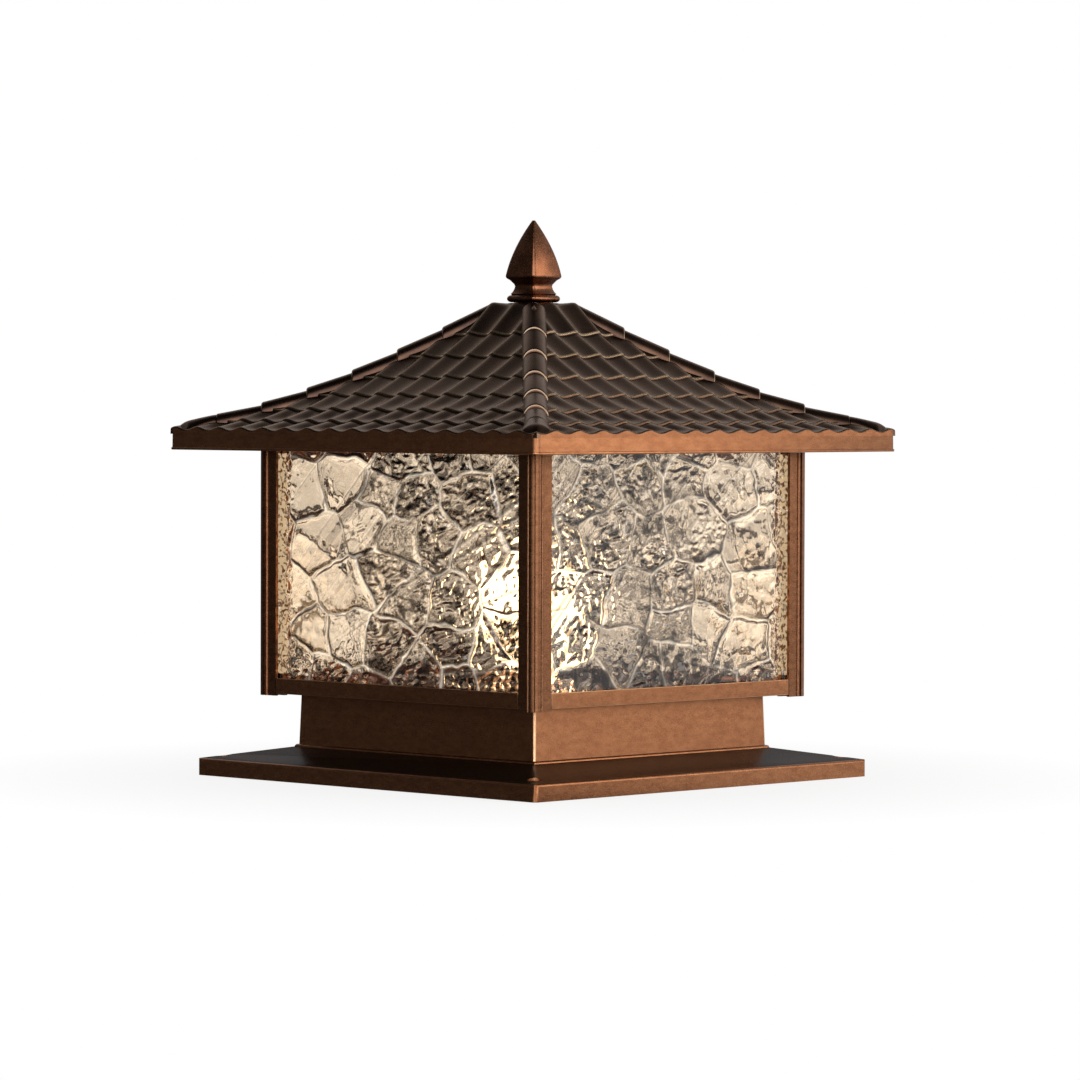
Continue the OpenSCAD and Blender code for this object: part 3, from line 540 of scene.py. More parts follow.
def loft(bm: BMesh, rings: list[list[BMVert]], closed: bool = False) -> None:
    """Skins a row of rings with faces.

    Args:
        bm: The mesh that holds the rings.
        rings: Rings of equal length.
        closed: Joins the last ring to the first, and otherwise both ends are capped.
    """
    loops = [[bm.edges.new((ring[i - 1], ring[i])) for i in range(len(ring))] for ring in rings]
    pairs = list(zip(loops, loops[1:])) + ([(loops[-1], loops[0])] if closed else [])
    for low, high in pairs:
        bmesh.ops.bridge_loops(bm, edges=low + high)
    if not closed:
        for loop in (loops[0], loops[-1]):
            bmesh.ops.edgeloop_fill(bm, edges=loop)
    bmesh.ops.recalc_face_normals(bm, faces=bm.faces)


def square_ring(section: Iterable[tuple[float, float, float]]) -> BMesh:
    """Runs a closed section round a square.

    Args:
        section: Half width, corner radius and height of each of its corners, in order.

    Returns:
        The new mesh.
    """
    bm = bmesh.new()
    loft(bm, [square_loop(bm, *corner) for corner in section], closed=True)
    return bm


def thicken(sheet: BMesh, outwards: Vector, thickness: float) -> None:
    """Turns a sheet's faces outwards and gives it its thickness behind them.

    Args:
        sheet: The sheet's mesh.
        outwards: The way that most of it faces.
        thickness: The thickness.
    """
    bmesh.ops.recalc_face_normals(sheet, faces=sheet.faces)
    if sum(face.normal.dot(outwards) for face in sheet.faces) < 0:
        bmesh.ops.reverse_faces(sheet, faces=sheet.faces)
    bmesh.ops.solidify(sheet, geom=sheet.faces[:], thickness=thickness)


def round_edges(bm: BMesh, edges: list[BMEdge], width: float, segments: int) -> list[BMFace]:
    """Rounds edges with a bevel.

    Args:
        bm: The mesh.
        edges: The edges to round.
        width: Width of the bevel.
        segments: Faces across it.

    Returns:
        The new faces.
    """
    return bmesh.ops.bevel(
        bm, geom=edges, offset=width, offset_type="OFFSET", segments=segments, profile=0.5,
        affect="EDGES", clamp_overlap=True, material=-1,
    )["faces"]


def cad_copy(node: str) -> BMesh:
    """Copies a CAD node's mesh, with its triangles joined to plain faces.

    Args:
        node: The node's name.

    Returns:
        The new mesh, in millimetres.
    """
    bm = bmesh.new()
    bm.from_mesh(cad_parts[node].data)
    bmesh.ops.scale(bm, vec=(1 / MM, 1 / MM, 1 / MM), verts=bm.verts)
    bmesh.ops.remove_doubles(bm, verts=bm.verts, dist=1e-3)
    bmesh.ops.dissolve_limit(bm, angle_limit=math.radians(0.5), verts=bm.verts, edges=bm.edges)
    return bm


def soften(bm: BMesh, radius: float, chosen: Callable[[BMEdge], bool], segments: int = 2) -> None:
    """Rounds the sharp edges that are chosen, and marks the new faces as bare, which also paints a
    highlight on them.

    Args:
        bm: The mesh.
        radius: Width of the bevel.
        chosen: Says which edges are rounded.
        segments: Faces across the bevel.
    """
    wear_and_sheen = bm.faces.layers.float.get("wear_and_sheen") or bm.faces.layers.float.new("wear_and_sheen")
    sharp = math.radians(35)
    edges = [e for e in bm.edges if len(e.link_faces) == 2 and e.calc_face_angle(0) > sharp and chosen(e)]
    # The rounded faces show bare copper, which also paints a highlight on the edges
    for face in round_edges(bm, edges, radius, segments):
        face[wear_and_sheen] = 1.0


def smooth_noise(x: np.ndarray, z: np.ndarray, cell: float, rng: np.random.Generator) -> np.ndarray:
    """Smooth random hills.

    Args:
        x: First coordinates.
        z: Second coordinates.
        cell: Distance between hills.
        rng: Source of the hills.

    Returns:
        A value from -1 to 1 for each point.
    """
    u, v = (x - x.min()) / cell, (z - z.min()) / cell
    grid = rng.uniform(-1, 1, (int(u.max()) + 2, int(v.max()) + 2))
    i, j = u.astype(int), v.astype(int)
    s, t = u - i, v - j
    s, t = s * s * (3 - 2 * s), t * t * (3 - 2 * t)
    low = grid[i, j] * (1 - s) + grid[i + 1, j] * s
    high = grid[i, j + 1] * (1 - s) + grid[i + 1, j + 1] * s
    return low * (1 - t) + high * t


# Sub-assemblies


@dataclass
class BaseAndPlinth:
    """The cast base plate with its plinth, and what is fixed in them."""

    corner_edge: float = 1.3
    head_edge: float = 0.5
    foot_z: float = 17.0
    # Distances from the axis that only the plinth's outer corners and its head pass
    corner_reach: float = 94.0
    head_reach: float = 90.0

    def outer_corner(self, edge: BMEdge) -> bool:
        """Whether an edge is an upright outer corner of the plinth.

        Args:
            edge: The edge.

        Returns:
            True if it is.
        """
        a, b = (v.co for v in edge.verts)
        outside = min(abs(c) for c in (a.x, a.y, b.x, b.y)) > self.corner_reach
        return outside and abs(a.z - b.z) > 5 and min(a.z, b.z) > self.foot_z - 2

    def build(self) -> None:
        """Builds the casting from the CAD solid, with its edges rounded as cast."""
        bm = cad_copy("base_casting")
        # Just under the plinth's top face
        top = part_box("base_casting")[1].z / MM - 0.1
        soften(bm, self.corner_edge, self.outer_corner, segments=3)
        soften(bm, self.head_edge, lambda e: all(
            v.co.z > top and abs(v.co.x) + abs(v.co.y) > self.head_reach for v in e.verts
        ))
        # Painted shade on the top faces of the plate, which face up
        shaded_top = bm.faces.layers.float.new("shaded_top")
        for face in bm.faces:
            face.normal_update()
            level = face.normal.z > 0.9
            face[shaded_top] = float(level and face.calc_center_median().z < self.foot_z)
        place_piece(
            "base_and_plinth", bm, Body.LANTERN, CAST_COPPER, ["base_casting"], broad_flats=True
        )
        dress(MOULDED_RUBBER, "plinth_gasket", "lead_grommet")
        dress(ZINC_STEEL, "tray_screws", "lamp_well", "well_screws")
        dress(SHELL_BRASS, "earth_screw")


@dataclass
class LanternBody:
    """Tray, corner posts and top frame, with the bar and the stud that hold the roof."""

    rail_edge: float = 0.35
    rail_w: float = 2.5

    def build(self) -> None:
        """Builds the tray with softened rails and dresses the rest."""
        tray = cad_copy("body_tray")
        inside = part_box("body_tray")[1].x / MM - self.rail_w
        soften(tray, self.rail_edge, lambda e: all(
            max(abs(v.co.x), abs(v.co.y)) > inside for v in e.verts
        ))
        place_piece("rail_tray", tray, Body.LANTERN, CAST_COPPER, ["body_tray"], broad_flats=True)
        for corner in ("front_right", "back_right", "back_left", "front_left"):
            dress(POST_COPPER_SHADED, f"corner_post_{corner}")
        dress(CAST_COPPER, "top_frame")
        dress(MOULDED_RUBBER, "setting_strips")
        dress(CELL_FOAM, "roof_gasket")
        dress(ZINC_STEEL, "post_foot_screws", "top_frame_screws", "crossbar", "crossbar_screws")
        dress(ZINC_STEEL, "roof_stud", "stud_nuts")


@dataclass
class FiguredPanes:
    """Four panes of rolled figured glass: stones about 30 mm wide, with grooves and veins between.

    Names that end in _mm give the width or spacing of a feature, and in _h its height.
    """

    grid_mm: float = 0.7
    depth: float = 2.4
    seed: int = 41
    # Bumps over this share of the highest are cut level with the plain face
    level_share: float = 0.72
    # Stones: their size, how far they stray from even rows, and how they stand, lean and swell
    stone_w: float = 35.0
    stone_h: float = 28.0
    margin_x: float = 40.0
    margin_z: float = 25.0
    stray: float = 0.36
    step_h: float = 0.3
    tilt: float = 0.03
    foot_tilt: float = 0.06
    dome_h: float = 0.4
    # Outlines between them: how they wander, and their groove and vein
    bend_mm: float = 17.0
    bend_h: float = 3.2
    waver_mm: float = 5.0
    waver_h: float = 0.7
    blend_mm: float = 1.4
    groove_mm: float = 1.6
    groove_h: float = 1.2
    vein_mm: float = 0.6
    vein_h: float = 0.5
    # Hammered faces, and the sheet's own faint drawing
    hammer_mm: float = 3.3
    hammer_h: float = 1.0
    blotch_mm: float = 9.0
    blotch_h: float = 1.15
    fine_mm: float = 1.7
    drawn_mm: float = 5.0
    faint_h: float = 0.2
    # Granular strip along one edge, and the tape behind both
    strip_mm: float = 13.0
    strip_grain_mm: float = 2.2
    strip_h: float = 0.8
    tape_w: float = 7.5
    tape_step: float = 1.6
    tape_ragged: float = 1.4
    tape_t: float = 0.2
    tape_gap: float = 0.03
    tape_foot: float = 6.0
    tape_head: float = 4.0
    # Painted shade beside the grooves and in dark flecks, and painted light along the veins
    shade_line_mm: float = 0.9
    patch_mm: float = 11.0
    fleck_mm: float = 5.0
    glint_mm: float = 0.7
    glint_gap_mm: float = 7.0

    def relief(
        self, side: Side, x: np.ndarray, z: np.ndarray, rng: np.random.Generator
    ) -> tuple[np.ndarray, np.ndarray, np.ndarray]:
        """Height of the figure over the plain face, and where shade and highlights are painted on it.

        Args:
            side: The pane's side.
            x: Places across the pane.
            z: Places up the pane.
            rng: The pane's own source of chance.

        Returns:
            Heights in millimetres, and shares of painted shade and of painted light from 0 to 1.
        """

        def wander(along: np.ndarray) -> np.ndarray:
            """Strays from straight lines, so that the outlines of the stones bend."""
            bent = along + self.bend_h * smooth_noise(x, z, self.bend_mm, rng)
            return bent + self.waver_h * smooth_noise(x, z, self.waver_mm, rng)

        # The end far from the front corner has smooth stones and a granular strip along its edge
        inward = 1 if side in (Side.FRONT, Side.BACK) else -1
        reach = x.max()
        px, pz = wander(x), wander(z)
        seeds = []
        rows = np.arange(z.min() - self.margin_z, z.max() + self.margin_z, self.stone_h)
        for row, sz in enumerate(rows):
            for sx in np.arange(x.min() - self.margin_x, x.max() + self.margin_x, self.stone_w):
                shift = self.stone_w / 2 * (row % 2)
                jitter = rng.uniform(-self.stray, self.stray, 2)
                seeds.append((sx + shift + jitter[0] * self.stone_w, sz + jitter[1] * self.stone_h))
        seeds = np.array(seeds)
        count = len(seeds)
        level = rng.uniform(-1, 1, count) * self.step_h
        lean = rng.normal(0, self.tilt, (count, 2))
        dome = rng.uniform(-0.3, 1, count) * self.dome_h
        broken = np.clip((inward * seeds[:, 0] / reach + 0.35) / 0.3, 0.1, 1)
        rough = broken * rng.choice([0.3, 0.65, 1.0], count, p=[0.3, 0.35, 0.35])
        foot = seeds[:, 1] < z.min() + 0.6 * self.stone_h
        lean[:, 1] -= self.foot_tilt * foot
        rough = np.where(foot, np.maximum(rough, 0.6), rough)

        # Each place belongs to its nearest stone, and the second nearest says how far the outline is
        stretch = self.stone_w / self.stone_h
        away = np.hypot(px[:, None] - seeds[None, :, 0], stretch * (pz[:, None] - seeds[None, :, 1]))
        first = away.argmin(1)
        away[np.arange(len(px)), first] = np.inf
        second = away.argmin(1)
        across = (seeds[second] - seeds[first]) * (1, stretch**2)
        middle = (seeds[second] + seeds[first]) / 2
        across /= np.linalg.norm(across, axis=1)[:, None]
        edge = (middle[:, 0] - px) * across[:, 0] + (middle[:, 1] - pz) * across[:, 1]

        def stone(i: np.ndarray) -> np.ndarray:
            """Height of a stone's face at each place.

            Args:
                i: The stone's number at each place.

            Returns:
                The heights.
            """
            dx, dz = px - seeds[i, 0], pz - seeds[i, 1]
            bow = 1 - np.minimum((dx * dx + dz * dz) / (0.3 * self.stone_w**2), 1.5)
            return level[i] + lean[i, 0] * dx + lean[i, 1] * dz + dome[i] * bow

        share = np.clip(edge / self.blend_mm, 0, 1)
        share = 0.5 + 0.5 * share * share * (3 - 2 * share)
        body = stone(first) * share + stone(second) * (1 - share)
        grit = rough[first] * share + rough[second] * (1 - share)
        folds = self.hammer_h * smooth_noise(px + 0.5 * pz, 1.6 * pz - 0.5 * px, self.hammer_mm, rng)
        folds += self.blotch_h * smooth_noise(px, 0.8 * pz, self.blotch_mm, rng)
        fine = self.faint_h * smooth_noise(x, z, self.fine_mm, rng)
        drawn = self.faint_h * smooth_noise(px + 0.4 * pz, pz - 0.4 * px, self.drawn_mm, rng)
        groove = -self.groove_h * np.exp(-((edge / self.groove_mm) ** 2))
        vein = self.vein_h * np.exp(-((edge / self.vein_mm) ** 2))
        calm = np.clip((edge - 0.6) / 1.8, 0, 1)
        figure = body + calm * grit * (folds + fine) + drawn + groove + vein
        strip = np.clip((self.strip_mm - reach - inward * x) / 1.5, 0, 1)
        grain = self.strip_h * smooth_noise(x, z, self.strip_grain_mm, rng)
        figure = figure * (1 - strip) + strip * (0.3 * figure + grain)

        # Painted shade lines one flank of the grooves, here and there
        outer = across @ np.array([-0.9 * inward, -0.45])
        patchy = 0.75 + 0.5 * smooth_noise(x, z, self.patch_mm, rng)
        line = np.exp(-(((edge - self.shade_line_mm) / self.shade_line_mm) ** 2))
        shade_share = 1.25 * line * np.clip(0.3 + 1.5 * outer, 0, 1) * patchy * (1 - strip)
        # Painted shade: the rough stones show dark flecks, most of all along the foot of the pane
        fleck = 0.6 * smooth_noise(px, 1.3 * pz, self.fleck_mm, rng)
        fleck += 0.5 * smooth_noise(px, pz, 0.4 * self.fleck_mm, rng)
        coarse = np.clip(1.4 * grit - 0.1, 0, 1)
        dark = np.clip((fleck * coarse + 0.1 * foot[first] - 0.13) / 0.08, 0, 1)
        shade_share = np.maximum(shade_share, 0.95 * dark * calm * (1 - strip))
        # Painted highlight along the veins, broken up here and there
        broken_up = np.clip(0.6 + 0.9 * smooth_noise(x, z, self.glint_gap_mm, rng), 0, 1)
        glint = np.exp(-((edge / self.glint_mm) ** 2)) * broken_up * (1 - strip)
        return figure, np.clip(shade_share, 0, 1), glint

    def build(self) -> None:
        """Builds the four panes, each with a figure of its own."""
        low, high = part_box("glass_front")
        width, height = (high.x - low.x) / MM, (high.z - low.z) / MM
        columns, rows = round(width / self.grid_mm), round(height / self.grid_mm)
        outer, inner = low.y / MM, high.y / MM
        for side in Side:
            node = f"glass_{side.name.lower()}"
            bm = bmesh.new()
            bmesh.ops.create_grid(bm, x_segments=columns, y_segments=rows, size=0.5)
            plan = np.array([v.co[:2] for v in bm.verts])
            x = (low.x + high.x) / 2 / MM + plan[:, 0] * width
            z = (low.z + high.z) / 2 / MM + plan[:, 1] * height
            rng = np.random.default_rng(self.seed + side.value)
            heights, shade_share, glint = self.relief(side, x, z, rng)
            y = outer - np.clip(heights - heights.max() * self.level_share, -self.depth, 0)
            painted_shade = bm.verts.layers.float.new("painted_shade")
            lit = bm.verts.layers.float.new("lit")
            for vert, place, brown, bright in zip(bm.verts, zip(x, y, z), shade_share, glint):
                vert.co = place
                vert[painted_shade] = brown
                vert[lit] = bright
            border = [e for e in bm.edges if e.is_boundary]
            for made in bmesh.ops.extrude_edge_only(bm, edges=border)["geom"]:
                if isinstance(made, BMVert):
                    made.co.y = inner
            bmesh.ops.edgeloop_fill(bm, edges=[e for e in bm.edges if e.is_boundary])
            moved(bm, side.turn)
            place_piece(f"figured_{node}", bm, Body.LANTERN, FIGURED_GLASS, [node], 60)
            self.tape(side, high.x / MM, inner + self.tape_gap)

    def tape(self, side: Side, reach: float, y: float) -> None:
        """Lays the tape between a pane and the metal lips behind its two upright edges.

        Args:
            side: The pane's side.
            reach: Half width of the pane.
            y: The tape's outer face, on the front pane.
        """
        low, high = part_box("glass_front")
        foot, head = low.z / MM + self.tape_foot, high.z / MM - self.tape_head
        steps = round((head - foot) / self.tape_step)
        rng = np.random.default_rng(self.seed + side.value + 1)
        bm = bmesh.new()
        for end in (-1, 1):
            strip = bmesh.new()
            bmesh.ops.create_grid(strip, x_segments=1, y_segments=steps, size=0.5)
            for vert in strip.verts:
                ragged = self.tape_w + rng.uniform(-1, 1) * self.tape_ragged
                across = 0.0 if vert.co.x > 0 else ragged
                vert.co = (end * (reach - across), y, foot + (vert.co.y + 0.5) * (head - foot))
            thick = bmesh.ops.extrude_face_region(strip, geom=strip.faces[:], use_keep_orig=True)
            behind = [g for g in thick["geom"] if isinstance(g, BMVert)]
            bmesh.ops.translate(strip, vec=(0, self.tape_t, 0), verts=behind)
            merge_into(bm, strip)
        moved(bm, side.turn)
        # Its finish paints a glow for the bulb's light through it
        place_piece(f"glazing_tape_{side.name.lower()}", bm, Body.LANTERN, TAPE_PAINTED_GLOW)


@dataclass(frozen=True)
class TileRow:
    """A row of the tile field.

    d is its half width, lift its height over the roof, share how much of the roll it has, even how far
    the roll is an even wave, hollow how deep the tile is dished and wear how far its copper shows
    through, which also paints a highlight on it.
    """

    d: float
    lift: float
    share: float = 1.0
    even: float = 0.0
    hollow: float = 0.0
    wear_and_sheen: float = 0.0


@dataclass
class TiledRoof:
    """The roof casting: tile fields, ridge tiles, eaves band, crown and the seat under them."""

    half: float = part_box("roof_casting")[1].x / MM
    eave_z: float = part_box("roof_casting")[0].z / MM
    crown_z: float = 275.28
    # Height of the eaves band, and how far the tiles stand back from it
    band_h: float = 10.2
    lean: float = 1.0
    crown_half: float = 19.0
    rows: int = 7
    columns: int = 16
    # Slopes at the eaves, up the roof and at the topmost row, and the run in which the first turns
    # into the second
    eave_slope: float = 0.22
    roof_slope: float = 0.69
    crown_slope: float = 0.95
    sweep: float = 90.0
    # Relief of the tiles: the lip of a row, the roll across it and the hollow at the eaves
    lip: float = 1.2
    wave: float = 1.9
    hollow: float = 1.7
    # Ridge tiles: radius, how far they stand proud, the step between them and the round of an end
    ridge_r: float = 7.3
    ridge_proud: float = 5.4
    ridge_step: float = 2.0
    ridge_round: float = 1.1
    # Walls: the casting, the copper edge over the band, the crown with its boss, and the seat rib
    skin: float = 2.4
    skirt_proud: float = 0.45
    skirt_corner: float = 3.4
    skirt_t: float = 0.5
    crown_r: float = 15.2
    stud_hole_r: float = 4.0
    boss_r: float = 8.5
    boss_h: float = 12.0
    rib_z: float = 197.3
    rib_in: float = 104.5
    rib_out: float = 109.5
    # Roll of one tile across its column: a broad climb, a round crest and a sharp drop
    roll: tuple[tuple[float, float], ...] = (
        (0.0, 0.12), (0.05, 0.03), (0.12, 0.0), (0.22, 0.06), (0.34, 0.2), (0.46, 0.4), (0.58, 0.62),
        (0.68, 0.81), (0.76, 0.94), (0.82, 1.0), (0.87, 0.98), (0.91, 0.8), (0.955, 0.42),
    )
    crest: float = 0.82

    def __post_init__(self) -> None:
        """Works out the places that follow from the sizes."""
        self.tile_half = self.half - self.lean
        self.run = (self.tile_half - self.crown_half) / self.rows
        self.column = 2 * self.tile_half / self.columns
        self.foot_z = self.eave_z + self.band_h + 0.2

    def roof_z(self, d: float) -> float:
        """Height of the roof under its relief.

        Args:
            d: Half width there.

        Returns:
            The height.
        """
        # The slope steepens evenly up to the end of the sweep, and again at the topmost row
        top_row = self.crown_half + self.run
        x = self.tile_half - max(d, top_row)
        swept = min(x, self.sweep)
        gain = (self.roof_slope - self.eave_slope) * swept * swept / (2 * self.sweep)
        z = self.foot_z + self.eave_slope * swept + gain + self.roof_slope * (x - swept)
        z += self.crown_slope * (top_row - min(max(d, self.crown_half), top_row))
        # Inside the crown it rounds off to the finial's foot
        t = min(max(self.crown_half - d, 0) / 6, 1)
        return z + (self.crown_z - 0.3 - z) * t * (2 - t)

    def levels(self) -> list[TileRow]:
        """Lists the rows of the tile field.

        Returns:
            The rows from the eaves up.
        """
        # The eave rows carry a little bare copper, which also paints a highlight along the eaves
        made = [
            TileRow(self.tile_half + 0.35, -1.2, share=0.0, even=1.0, wear_and_sheen=0.1),
            TileRow(self.tile_half + 0.25, 0.3, share=0.72, even=1.0, wear_and_sheen=0.1),
        ]
        for course in range(self.rows):
            low = self.tile_half - course * self.run
            even = (0.85, 0.6, 0.25)[course] if course < 3 else 0.0
            # Bare copper on the lips grows up the roof, and also paints their highlight
            rubbed = 0.12 + 0.12 * course
            lips = ((-0.22, -0.75, 0.0), (-0.02, -0.25, rubbed), (0.3, 0.0, rubbed), (0.55, 0.0, 0.0))
            for step, lift, wear_and_sheen in lips:
                made.append(TileRow(low - step, self.lip + lift, even=even, wear_and_sheen=wear_and_sheen))
            for t in (0.06, 0.14, 0.24, 0.36, 0.5, 0.64, 0.78, 0.9):
                hollow = self.hollow * even * math.sin(math.pi * t) ** 1.5
                made.append(TileRow(low - t * self.run, self.lip * (1 - t), even=even, hollow=hollow))
            made.append(TileRow(low - self.run + 0.3, 0.0, even=even))
        for d, share in ((18, 0.9), (16.5, 0.65), (15, 0.35), (13.5, 0.1), (11, 0.0), (8.5, 0.0)):
            made.append(TileRow(d, 0.0, share=share))
        return made

    def across(self, share: float) -> tuple[float, float, float]:
        """Finds the roll of the tiles at a place across the field.

        Args:
            share: The place, from -0.5 to 0.5.

        Returns:
            Its distance from the middle, its phase within the tile and the roll's height there.
        """
        tile, step = divmod(round((share + 0.5) * self.columns * len(self.roll)), len(self.roll))
        phase, height = self.roll[step]
        return (tile + phase) * self.column - self.tile_half, phase, height

    def relief(self, row: TileRow, phase: float, height: float) -> float:
        """Height of a tile over the roof.

        Args:
            row: The row of the field.
            phase: Place across the tile, from 0 to 1.
            height: Height of the roll there, from 0 to 1.

        Returns:
            The height, with the roll evened out and hollowed as the row says.
        """
        even = 0.5 + 0.5 * math.cos(math.tau * (phase - self.crest))
        roll = height + (even - height) * row.even
        cup = (0.5 - 0.5 * math.cos(math.tau * (phase - self.crest))) ** 1.5
        return row.lift + self.wave * row.share * roll - row.hollow * cup

    def tile_field(self) -> BMesh:
        """Makes one side of the tiles as a closed casting, cut to its quarter.

        Returns:
            The new mesh, which faces the front.
        """
        rows = self.levels()
        columns = self.columns * len(self.roll)
        bm = bmesh.new()
        bmesh.ops.create_grid(bm, x_segments=columns, y_segments=len(rows) - 1, size=0.5)
        wear_and_sheen = bm.verts.layers.float.new("wear_and_sheen")
        for vert in bm.verts:
            row = rows[round((vert.co.y + 0.5) * (len(rows) - 1))]
            u, phase, height = self.across(vert.co.x)
            z = self.roof_z(min(row.d, self.tile_half)) + self.relief(row, phase, height)
            vert.co = (u, -row.d, z)
            # Painted sheen: a faint lighter tone along the crest of each roll
            vert[wear_and_sheen] = max(row.wear_and_sheen, 0.12 * max(0.0, height - 0.9) / 0.1)
        thicken(bm, Vector((0, 0, 1)), self.skin)
        for sign in (-1, 1):
            cut = bmesh.ops.bisect_plane(
                bm, geom=bm.verts[:] + bm.edges[:] + bm.faces[:], dist=1e-5, plane_co=(0, 0, 0),
                plane_no=(sign, 1, 0), clear_outer=True,
            )
            rim = [g for g in cut["geom_cut"] if isinstance(g, BMEdge)]
            bmesh.ops.edgeloop_fill(bm, edges=rim)
        bmesh.ops.recalc_face_normals(bm, faces=bm.faces)
        return bm

    def around(self, make: Callable[[], BMesh]) -> BMesh:
        """Repeats the front on the four sides, with front and back mirrored so that the rolls meet.

        Args:
            make: Makes the front's mesh.

        Returns:
            The four sides as one mesh.
        """
        whole = bmesh.new()
        for side in Side:
            flip = Matrix.Diagonal((-1 if side in (Side.FRONT, Side.BACK) else 1, 1, 1, 1))
            merge_into(whole, moved(make(), side.turn @ flip))
        return whole

    def ridge_tile(self, low: float, high: float) -> BMesh:
        """Round ridge tile along the hip, whose lower end shows bare copper and a painted highlight.

        Args:
            low: Half width at its lower end.
            high: Half width at its upper end.

        Returns:
            The tile, on the hip towards +X.
        """
        near, far = low * math.sqrt(2), high * math.sqrt(2)
        crest = self.roof_z(low) + self.ridge_proud
        end = min(self.roof_z(high) + self.ridge_proud - self.ridge_step, self.crown_z - 0.1)
        radius = self.ridge_r
        bm = bmesh.new()
        bmesh.ops.create_cone(bm, cap_ends=True, segments=40, radius1=radius, radius2=radius, depth=1)
        wear_and_sheen = bm.verts.layers.float.new("wear_and_sheen")
        # The length runs from +X, the lower end, towards the axis
        bmesh.ops.transform(bm, matrix=Matrix.Rotation(math.radians(90), 4, "Y"), verts=bm.verts)
        bmesh.ops.transform(bm, matrix=Matrix.Diagonal((near - far, 1, 1, 1)), verts=bm.verts)
        bmesh.ops.translate(bm, vec=((near + far) / 2, 0, crest - radius), verts=bm.verts)
        rim = [e for e in bm.edges if all(v.co.x > near - 0.01 for v in e.verts)]
        # The lower end's rim shows bare copper, which also paints a highlight
        for vert in {v for face in round_edges(bm, rim, self.ridge_round, 4) for v in face.verts}:
            vert[wear_and_sheen] = 0.4 if near - 0.5 < vert.co.x < near - 0.05 else 0.0
        lean = (end - crest) / (far - near)
        for vert in bm.verts:
            vert.co.z += lean * (vert.co.x - near)
        return bm

    def ridge_nose(self) -> BMesh:
        """Lowest ridge tile, which flares out and falls to the corner of the eaves.

        Returns:
            The tile, on the hip towards +X.
        """
        start = (self.tile_half - self.run) * math.sqrt(2)
        tip = (self.tile_half - 4) * math.sqrt(2) + 3.6
        crest = self.roof_z(self.tile_half - self.run) + self.ridge_proud - 0.4
        foot = self.roof_z(self.tile_half)
        steps, across = 26, 24
        bm = bmesh.new()
        rings = []
        for step in range(steps + 1):
            t = step / steps
            x = start + (tip - start) * (1 - (1 - t) ** 1.5)
            along = (x - start) / (tip - start)
            fall = max(0.0, (along - 0.62) / 0.38)
            top = crest + (foot + 4.4 - crest) * along**1.15 - 4.2 * fall**2.2
            flare = along**2
            half = min(self.ridge_r + 7.5 * flare, self.tile_half * math.sqrt(2) - x - 0.2)
            ring = []
            for i in range(across + 1):
                u = -1 + 2 * i / across
                round_part = math.sqrt(max(0.0, 1 - u * u))
                bell = math.cos(math.pi * u / 2) ** 2
                share = round_part * (1 - flare) + bell * flare
                low = self.roof_z(min((x + abs(u) * half) / math.sqrt(2), self.tile_half))
                ring.append(bm.verts.new((x, u * half, low + max(top - low, 0.1) * share)))
            for i in range(across, -1, -1):
                u = -1 + 2 * i / across
                ring.append(bm.verts.new((x, u * half * 0.96, foot - 0.8)))
            rings.append(ring)
        loft(bm, rings)
        return bm

    def ridges(self) -> BMesh:
        """Makes the ridge tiles and noses on the four hips.

        Returns:
            The new mesh.
        """
        whole = bmesh.new()
        for hip in range(4):
            turn = Matrix.Rotation(math.radians(45 + 90 * hip), 4, "Z")
            for course in range(1, self.rows):
                low = self.tile_half - course * self.run
                high = max(low - self.run - 2, self.crown_half - 2)
                merge_into(whole, moved(self.ridge_tile(low, high), turn))
            merge_into(whole, moved(self.ridge_nose(), turn))
        return whole

    def band(self) -> BMesh:
        """Makes the plain band round the eaves, with its slim lip.

        Returns:
            The new mesh.
        """
        z, out, inner, corner = self.eave_z, self.half, self.tile_half - 4, 4
        walls = [
            (inner, z), (out - 0.5, z), (out - 0.12, z + 0.15), (out, z + 0.5), (out, z + 1.1),
            (out - 0.2, z + 1.45), (out - 0.62, z + 1.6), (self.tile_half + 0.25, z + self.band_h - 0.6),
            (self.tile_half - 0.2, z + self.band_h), (inner, z + self.band_h),
        ]
        return square_ring((half, corner + half - out if half > inner else 2, h) for half, h in walls)

    def skirt(self) -> BMesh:
        """Makes the front's copper edge over the band, which ends in the wave of the lowest tiles.

        Returns:
            The new mesh.
        """
        lip = self.levels()[2]
        out, corner = self.tile_half + self.skirt_proud, self.skirt_corner
        low = self.eave_z + self.band_h - 1
        bm = bmesh.new()
        bmesh.ops.create_grid(bm, x_segments=self.columns * len(self.roll), y_segments=1, size=0.5)
        for vert in bm.verts:
            u, phase, height = self.across(vert.co.x)
            u *= out / self.tile_half
            top = self.roof_z(self.tile_half) + self.relief(lip, phase, height) + 0.1
            # Its ends turn round the corner as far as the mitre
            turn = min(max((abs(u) - out + corner) / corner, 0), math.sqrt(0.5))
            u = math.copysign(min(abs(u), out - corner * (1 - math.sqrt(0.5))), u)
            drawn_in = corner * (1 - math.sqrt(1 - turn * turn))
            vert.co = (u, drawn_in - out, top if vert.co.y > 0 else low)
        bmesh.ops.remove_doubles(bm, verts=bm.verts, dist=1e-3)
        thicken(bm, Vector((0, -1, 0)), self.skirt_t)
        return bm

